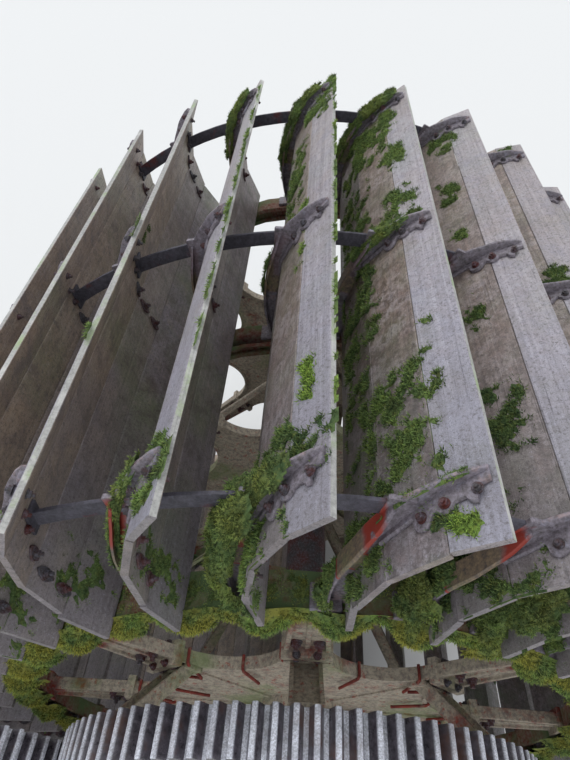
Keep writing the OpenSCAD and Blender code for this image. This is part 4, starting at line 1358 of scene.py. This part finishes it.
class WHEEL_OT_moss(bpy.types.Operator):
    """Grows the moss on the boards, starts and near rim"""

    bl_idname = "wheel.moss"
    bl_label = "Moss"

    crest_start = 0.07
    crest_low = 0.03
    crest_rise = 0.046
    crest_half = 0.016
    leg_half = 0.05
    mound_start = 0.1
    mound_half = 0.03
    mound_turn = math.radians(85.0)
    skirt_fall = (-0.02, 0.17)

    def face(self, index, hollow=False):
        """Surface of one float by distance from the near end and depth."""
        matrix = turned(index)

        def surface(y, depth):
            point, out = board_point(depth, NEAR_END + END_INSET + y, hollow)
            return matrix @ point, matrix.to_3x3() @ out
        return surface

    def crest(self, index, station):
        """Outer edge of one start by the share of the way to its foot and the place across."""
        matrix = turned(index)
        y = STATIONS[station]

        def surface(share, across):
            phi = TIP_PHI + self.crest_start + share * (BOARD_PHI[4] - TIP_PHI - 0.05)
            leg = max(0.0, min(1.0, (phi - ELBOW_PHI) / 0.4))
            height = self.crest_low + self.crest_rise * min(1.0, share / 0.3)
            half = self.crest_half + self.leg_half * leg
            point = on_curve(BACK_R + height, phi)
            point.y = y + lean(station, (phi - TIP_PHI) * CURVE_R) + across * half
            return matrix @ point, matrix.to_3x3() @ Vector((math.cos(phi), 0.0, math.sin(phi)))
        return surface

    def rim_face(self, angle, y):
        """The near rim's outer face, raised by as much as the cloth sinks."""
        out = Vector((math.sin(angle), 0.0, math.cos(angle)))
        flat = RIM_R * math.cos(STEP / 2)
        return AXLE + out * (flat + Carpet.sink) + Vector((0.0, y, 0.0)), out

    def skirt(self, angle, drop):
        """Moss that hangs over the near rim's edge, thick at the feet of the starts."""
        beat = (angle - FIRST_TURN + math.radians(8.0)) / STEP
        lumps = noise.noise(Vector((angle * 9.0, drop * 6.0, 0.0)))
        swell = 0.5 + 0.5 * math.cos(math.tau * beat) + 0.5 * lumps
        out = Vector((math.sin(angle), 0.0, math.cos(angle)))
        fall = drop * (0.6 + 0.7 * swell)
        bulge = 0.015 + 0.05 * swell * math.sin(math.pi * min(1.0, max(0.0, drop / 0.2 + 0.2)))
        height = RIM_R * math.cos(STEP / 2) + 0.012 - fall
        place = AXLE + out * height + Vector((0.0, STATIONS["near"] - RIM_HALF + 0.01 - bulge, 0.0))
        return place, (out * 0.4 - Vector((0.0, 1.0, 0.0))).normalized()

    def mound(self, index, station, rise):
        """A thick growth over one start, that much above its edge and wider than it."""
        matrix = turned(index)
        y = STATIONS[station]

        def surface(share, turn):
            phi = TIP_PHI + self.mound_start + share * (BOARD_PHI[4] - TIP_PHI)
            lumpy = 1.0 + 0.5 * noise.noise(Vector((share * 9.0, turn * 2.0, rise * 40.0)))
            angle = self.mound_turn * turn
            across = (self.mound_half + rise * 1.1) * math.sin(angle) * lumpy
            taper = min(1.0, 0.5 + share * 3.0)
            height = self.crest_low + (0.035 + rise) * math.cos(angle) * lumpy * taper
            shift = Vector((0.0, y + lean(station, (phi - TIP_PHI) * CURVE_R) + across, 0.0))
            out = Vector((math.cos(phi) * math.cos(angle), math.sin(angle), math.sin(phi) * math.cos(angle)))
            return matrix @ (on_curve(BACK_R + height, phi) + shift), matrix.to_3x3() @ out
        return surface

    def execute(self, context):
        chooser = random.Random(7)
        floats = Carpet()
        for index, y0, y1, d0, d1, cover, tone in BACK_MOSS:
            floats.patch(self.face(index), (y0, y1), (d0, d1), cover, tone)
        floats.grown("moss_on_floats", 5, thicker=0.65, longer=1.2)
        others = Carpet()
        for index, y0, y1, d0, d1, cover, tone in HOLLOW_MOSS:
            others.patch(self.face(index, hollow=True), (y0, y1), (d0, d1), cover, tone)
        for index in range(5, FLOATS - 4):
            others.patch(self.face(index), (0.0, 0.4), (0.3, 0.9), 0.7, 0.35)
            y = chooser.uniform(0.6, 3.2)
            depth = chooser.uniform(0.1, 0.5)
            tone = chooser.uniform(0.2, 0.7)
            others.patch(self.face(index), (y, y + 0.3), (depth, depth + 0.15), 0.8, tone)
        others.grown("moss_on_other_floats", 6, thicker=0.3)
        starts = Carpet()
        for index, station, first, last, cover, tone in START_MOSS:
            starts.patch(self.crest(index, station), (first, last), (-1.0, 1.0), cover, tone)
        starts.grown("moss_on_starts", 7, thicker=0.85)
        mounds = Carpet()
        for index, station, first, last, rise, tone in MOUNDS:
            mounds.patch(self.mound(index, station, rise), (first, last), (-1.0, 1.0), 1.4, tone, 0.3, rise)
        mounds.grown("moss_mounds", 9, thicker=0.66)
        rim = Carpet()
        near = STATIONS["near"]
        rim.patch(self.rim_face, (-math.pi, math.pi), (near - RIM_HALF, near + RIM_HALF), 0.85, 0.35, 0.7)
        rim.grown("moss_on_rim", 8, thicker=0.7)
        skirt = Carpet()
        skirt.patch(self.skirt, (-math.pi, math.pi), self.skirt_fall, 1.02, 0.55, 1.0, 0.02)
        skirt.grown("moss_skirt", 10, thicker=0.65, longer=1.3)
        return {"FINISHED"}


class WHEEL_OT_masonry(bpy.types.Operator):
    """Builds the piers of coursed stone round a mortar core"""

    bl_idname = "wheel.masonry"
    bl_label = "Masonry"

    core_inset = 0.01
    bed = 0.16
    block_length = 0.42
    jog = 0.05
    lip = 0.07
    footing = 0.3

    def courses(self, low, high, chooser):
        """Blocks round a box: their middles and sizes, course by course, breaking joint."""
        joint = sizes().stone_joint
        count = max(1, round((high.z - low.z) / sizes().course))
        height = (high.z - low.z) / count
        blocks = []
        for row in range(count):
            for axis in (0, 1):
                short = 0.0 if row % 2 == axis else self.bed
                first = low[axis] + short
                last = high[axis] - short
                pieces = max(1, round((last - first) / self.block_length))
                cuts = [first + (last - first) * i / pieces for i in range(pieces + 1)]
                for i in range(1, pieces):
                    cuts[i] += chooser.uniform(-self.jog, self.jog)
                for a, b in zip(cuts, cuts[1:]):
                    for side in (low[1 - axis] + self.bed / 2, high[1 - axis] - self.bed / 2):
                        place = Vector((side, side, low.z + height * (row + 0.5)))
                        size = Vector((self.bed, self.bed, height - joint))
                        place[axis] = (a + b) / 2
                        size[axis] = b - a - joint
                        blocks.append((place, Vector((0.0, 0.0, 1.0)), size))
        return blocks

    def core(self, name, boxes):
        """The mortar behind the stones."""
        builder = bmesh.new()
        for low, high in boxes:
            inset = Vector((self.core_inset,) * 3)
            size = high - low - 2 * inset
            matrix = Matrix.Translation((low + high) / 2) @ Matrix.Diagonal((*size, 1.0))
            bmesh.ops.create_cube(builder, size=1.0, matrix=matrix)
        bmesh.ops.subdivide_edges(builder, edges=builder.edges[:], cuts=5, use_grid_fill=True)
        return new_object(name, coated(mesh_from(builder, name), finish("mortar")))

    def execute(self, context):
        chooser = random.Random(19)
        for node in ("near_pier", "far_pier", "pinion_pier"):
            low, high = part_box(node)
            footing_top = low.z + self.footing
            shaft_low = Vector((low.x + self.lip, low.y + self.lip, footing_top))
            shaft_high = Vector((high.x - self.lip, high.y - self.lip, high.z))
            foot_high = Vector((high.x, high.y, footing_top))
            blocks = self.courses(low, foot_high, chooser) + self.courses(shaft_low, shaft_high, chooser)
            stones = spots(node + "_stones", blocks)
            values = {"Roughness": 0.012, "Roughness Scale": 7.0, "Seed": 9, "Finish": finish("stone")}
            through(stones, [("stones", values)])
            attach(stones, "stand")
            core_low = Vector((shaft_low.x, shaft_low.y, low.z))
            core = self.core(node + "_core", [(low, foot_high), (core_low, shaft_high)])
            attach(core, "stand")
            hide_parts(node)
            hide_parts(node)
        return {"FINISHED"}


class WHEEL_OT_stage(bpy.types.Operator):
    """Sets the floor, the lights and the camera"""

    bl_idname = "wheel.stage"
    bl_label = "Stage"

    eye = Vector((-0.097, -0.037, 7.076))
    pitch = 0.8125
    yaw = -0.0467
    roll = 0.020
    focal_pixels = 555.57
    image_height = 760
    sensor_mm = 36.0
    view_distance = 400.0
    floor_half = 90.0
    floor_colour = (0.72, 0.72, 0.71, 1.0)
    sky_colour = (0.93, 0.96, 1.0, 1.0)
    sky_strength = 1.05
    key_energy = 0.9
    key_width = math.radians(40.0)
    key_turn = (math.radians(-32.0), math.radians(-22.0), 0.0)

    def execute(self, context):
        self.floor()
        self.lights()
        self.camera()
        context.scene.view_settings.view_transform = "Standard"
        return {"FINISHED"}

    def floor(self):
        half = self.floor_half
        mesh = bpy.data.meshes.new("floor")
        corners = [(-half, -half, 0.0), (half, -half, 0.0), (half, half, 0.0), (-half, half, 0.0)]
        mesh.from_pydata(corners, [], [(0, 1, 2, 3)])
        f = Finish("Pale floor", roughness=0.9, specular=0.2)
        ground = new_object("floor", coated(mesh, f.done(self.floor_colour)))

    def lights(self):
        world = bpy.data.worlds.new("Soft sky")
        world.use_nodes = True
        sky = world.node_tree.nodes["Background"]
        sky.inputs["Color"].default_value = self.sky_colour
        sky.inputs["Strength"].default_value = self.sky_strength
        bpy.context.scene.world = world
        lamp = bpy.data.lights.new("Soft key", "SUN")
        lamp.energy = self.key_energy
        lamp.angle = self.key_width
        key = bpy.data.objects.new("Soft key", lamp)
        key.rotation_euler = self.key_turn
        bpy.context.scene.collection.objects.link(key)

    def camera(self):
        flat = math.cos(self.pitch)
        forward = Vector((math.sin(self.yaw) * flat, math.cos(self.yaw) * flat, -math.sin(self.pitch)))
        level = Vector((math.cos(self.yaw), -math.sin(self.yaw), 0.0))
        raised = level.cross(forward)
        right = math.cos(self.roll) * level + math.sin(self.roll) * raised
        up = -math.sin(self.roll) * level + math.cos(self.roll) * raised
        lens = bpy.data.cameras.new("Photo view")
        lens.sensor_width = self.sensor_mm
        lens.lens = self.focal_pixels * self.sensor_mm / self.image_height
        lens.clip_end = self.view_distance
        camera = bpy.data.objects.new("Photo view", lens)
        axes = Matrix((right, up, -forward)).transposed().to_4x4()
        camera.matrix_world = Matrix.Translation(self.eye) @ axes
        bpy.context.scene.collection.objects.link(camera)
        bpy.context.scene.camera = camera


OPERATORS = (WHEEL_OT_boards, WHEEL_OT_starts, WHEEL_OT_fastenings, WHEEL_OT_castings,
             WHEEL_OT_arm_fastenings, WHEEL_OT_moss, WHEEL_OT_masonry, WHEEL_OT_stage)


class WHEEL_PT_panel(bpy.types.Panel):
    """Lists the steps that dress the wheel"""

    bl_idname = "WHEEL_PT_panel"
    bl_label = "Water wheel"
    bl_space_type = "VIEW_3D"
    bl_region_type = "UI"
    bl_category = "Water wheel"

    def draw(self, context):
        for group in (context.scene.wheel_sizes, context.scene.wheel_colours):
            for name in group.__annotations__:
                self.layout.prop(group, name)
        for operator in OPERATORS:
            self.layout.operator(operator.bl_idname)


CLASSES = (WheelSizes, WheelColours, *OPERATORS, WHEEL_PT_panel)


def register():
    for item in CLASSES:
        bpy.utils.register_class(item)
    bpy.types.Scene.wheel_sizes = bpy.props.PointerProperty(type=WheelSizes)
    bpy.types.Scene.wheel_colours = bpy.props.PointerProperty(type=WheelColours)


def unregister():
    del bpy.types.Scene.wheel_colours
    del bpy.types.Scene.wheel_sizes
    for item in reversed(CLASSES):
        bpy.utils.unregister_class(item)


def main():
    """Runs every step in order."""
    register()
    for operator in OPERATORS:
        group, name = operator.bl_idname.split(".")
        getattr(getattr(bpy.ops, group), name)()


if __name__ == "__main__":
    main()
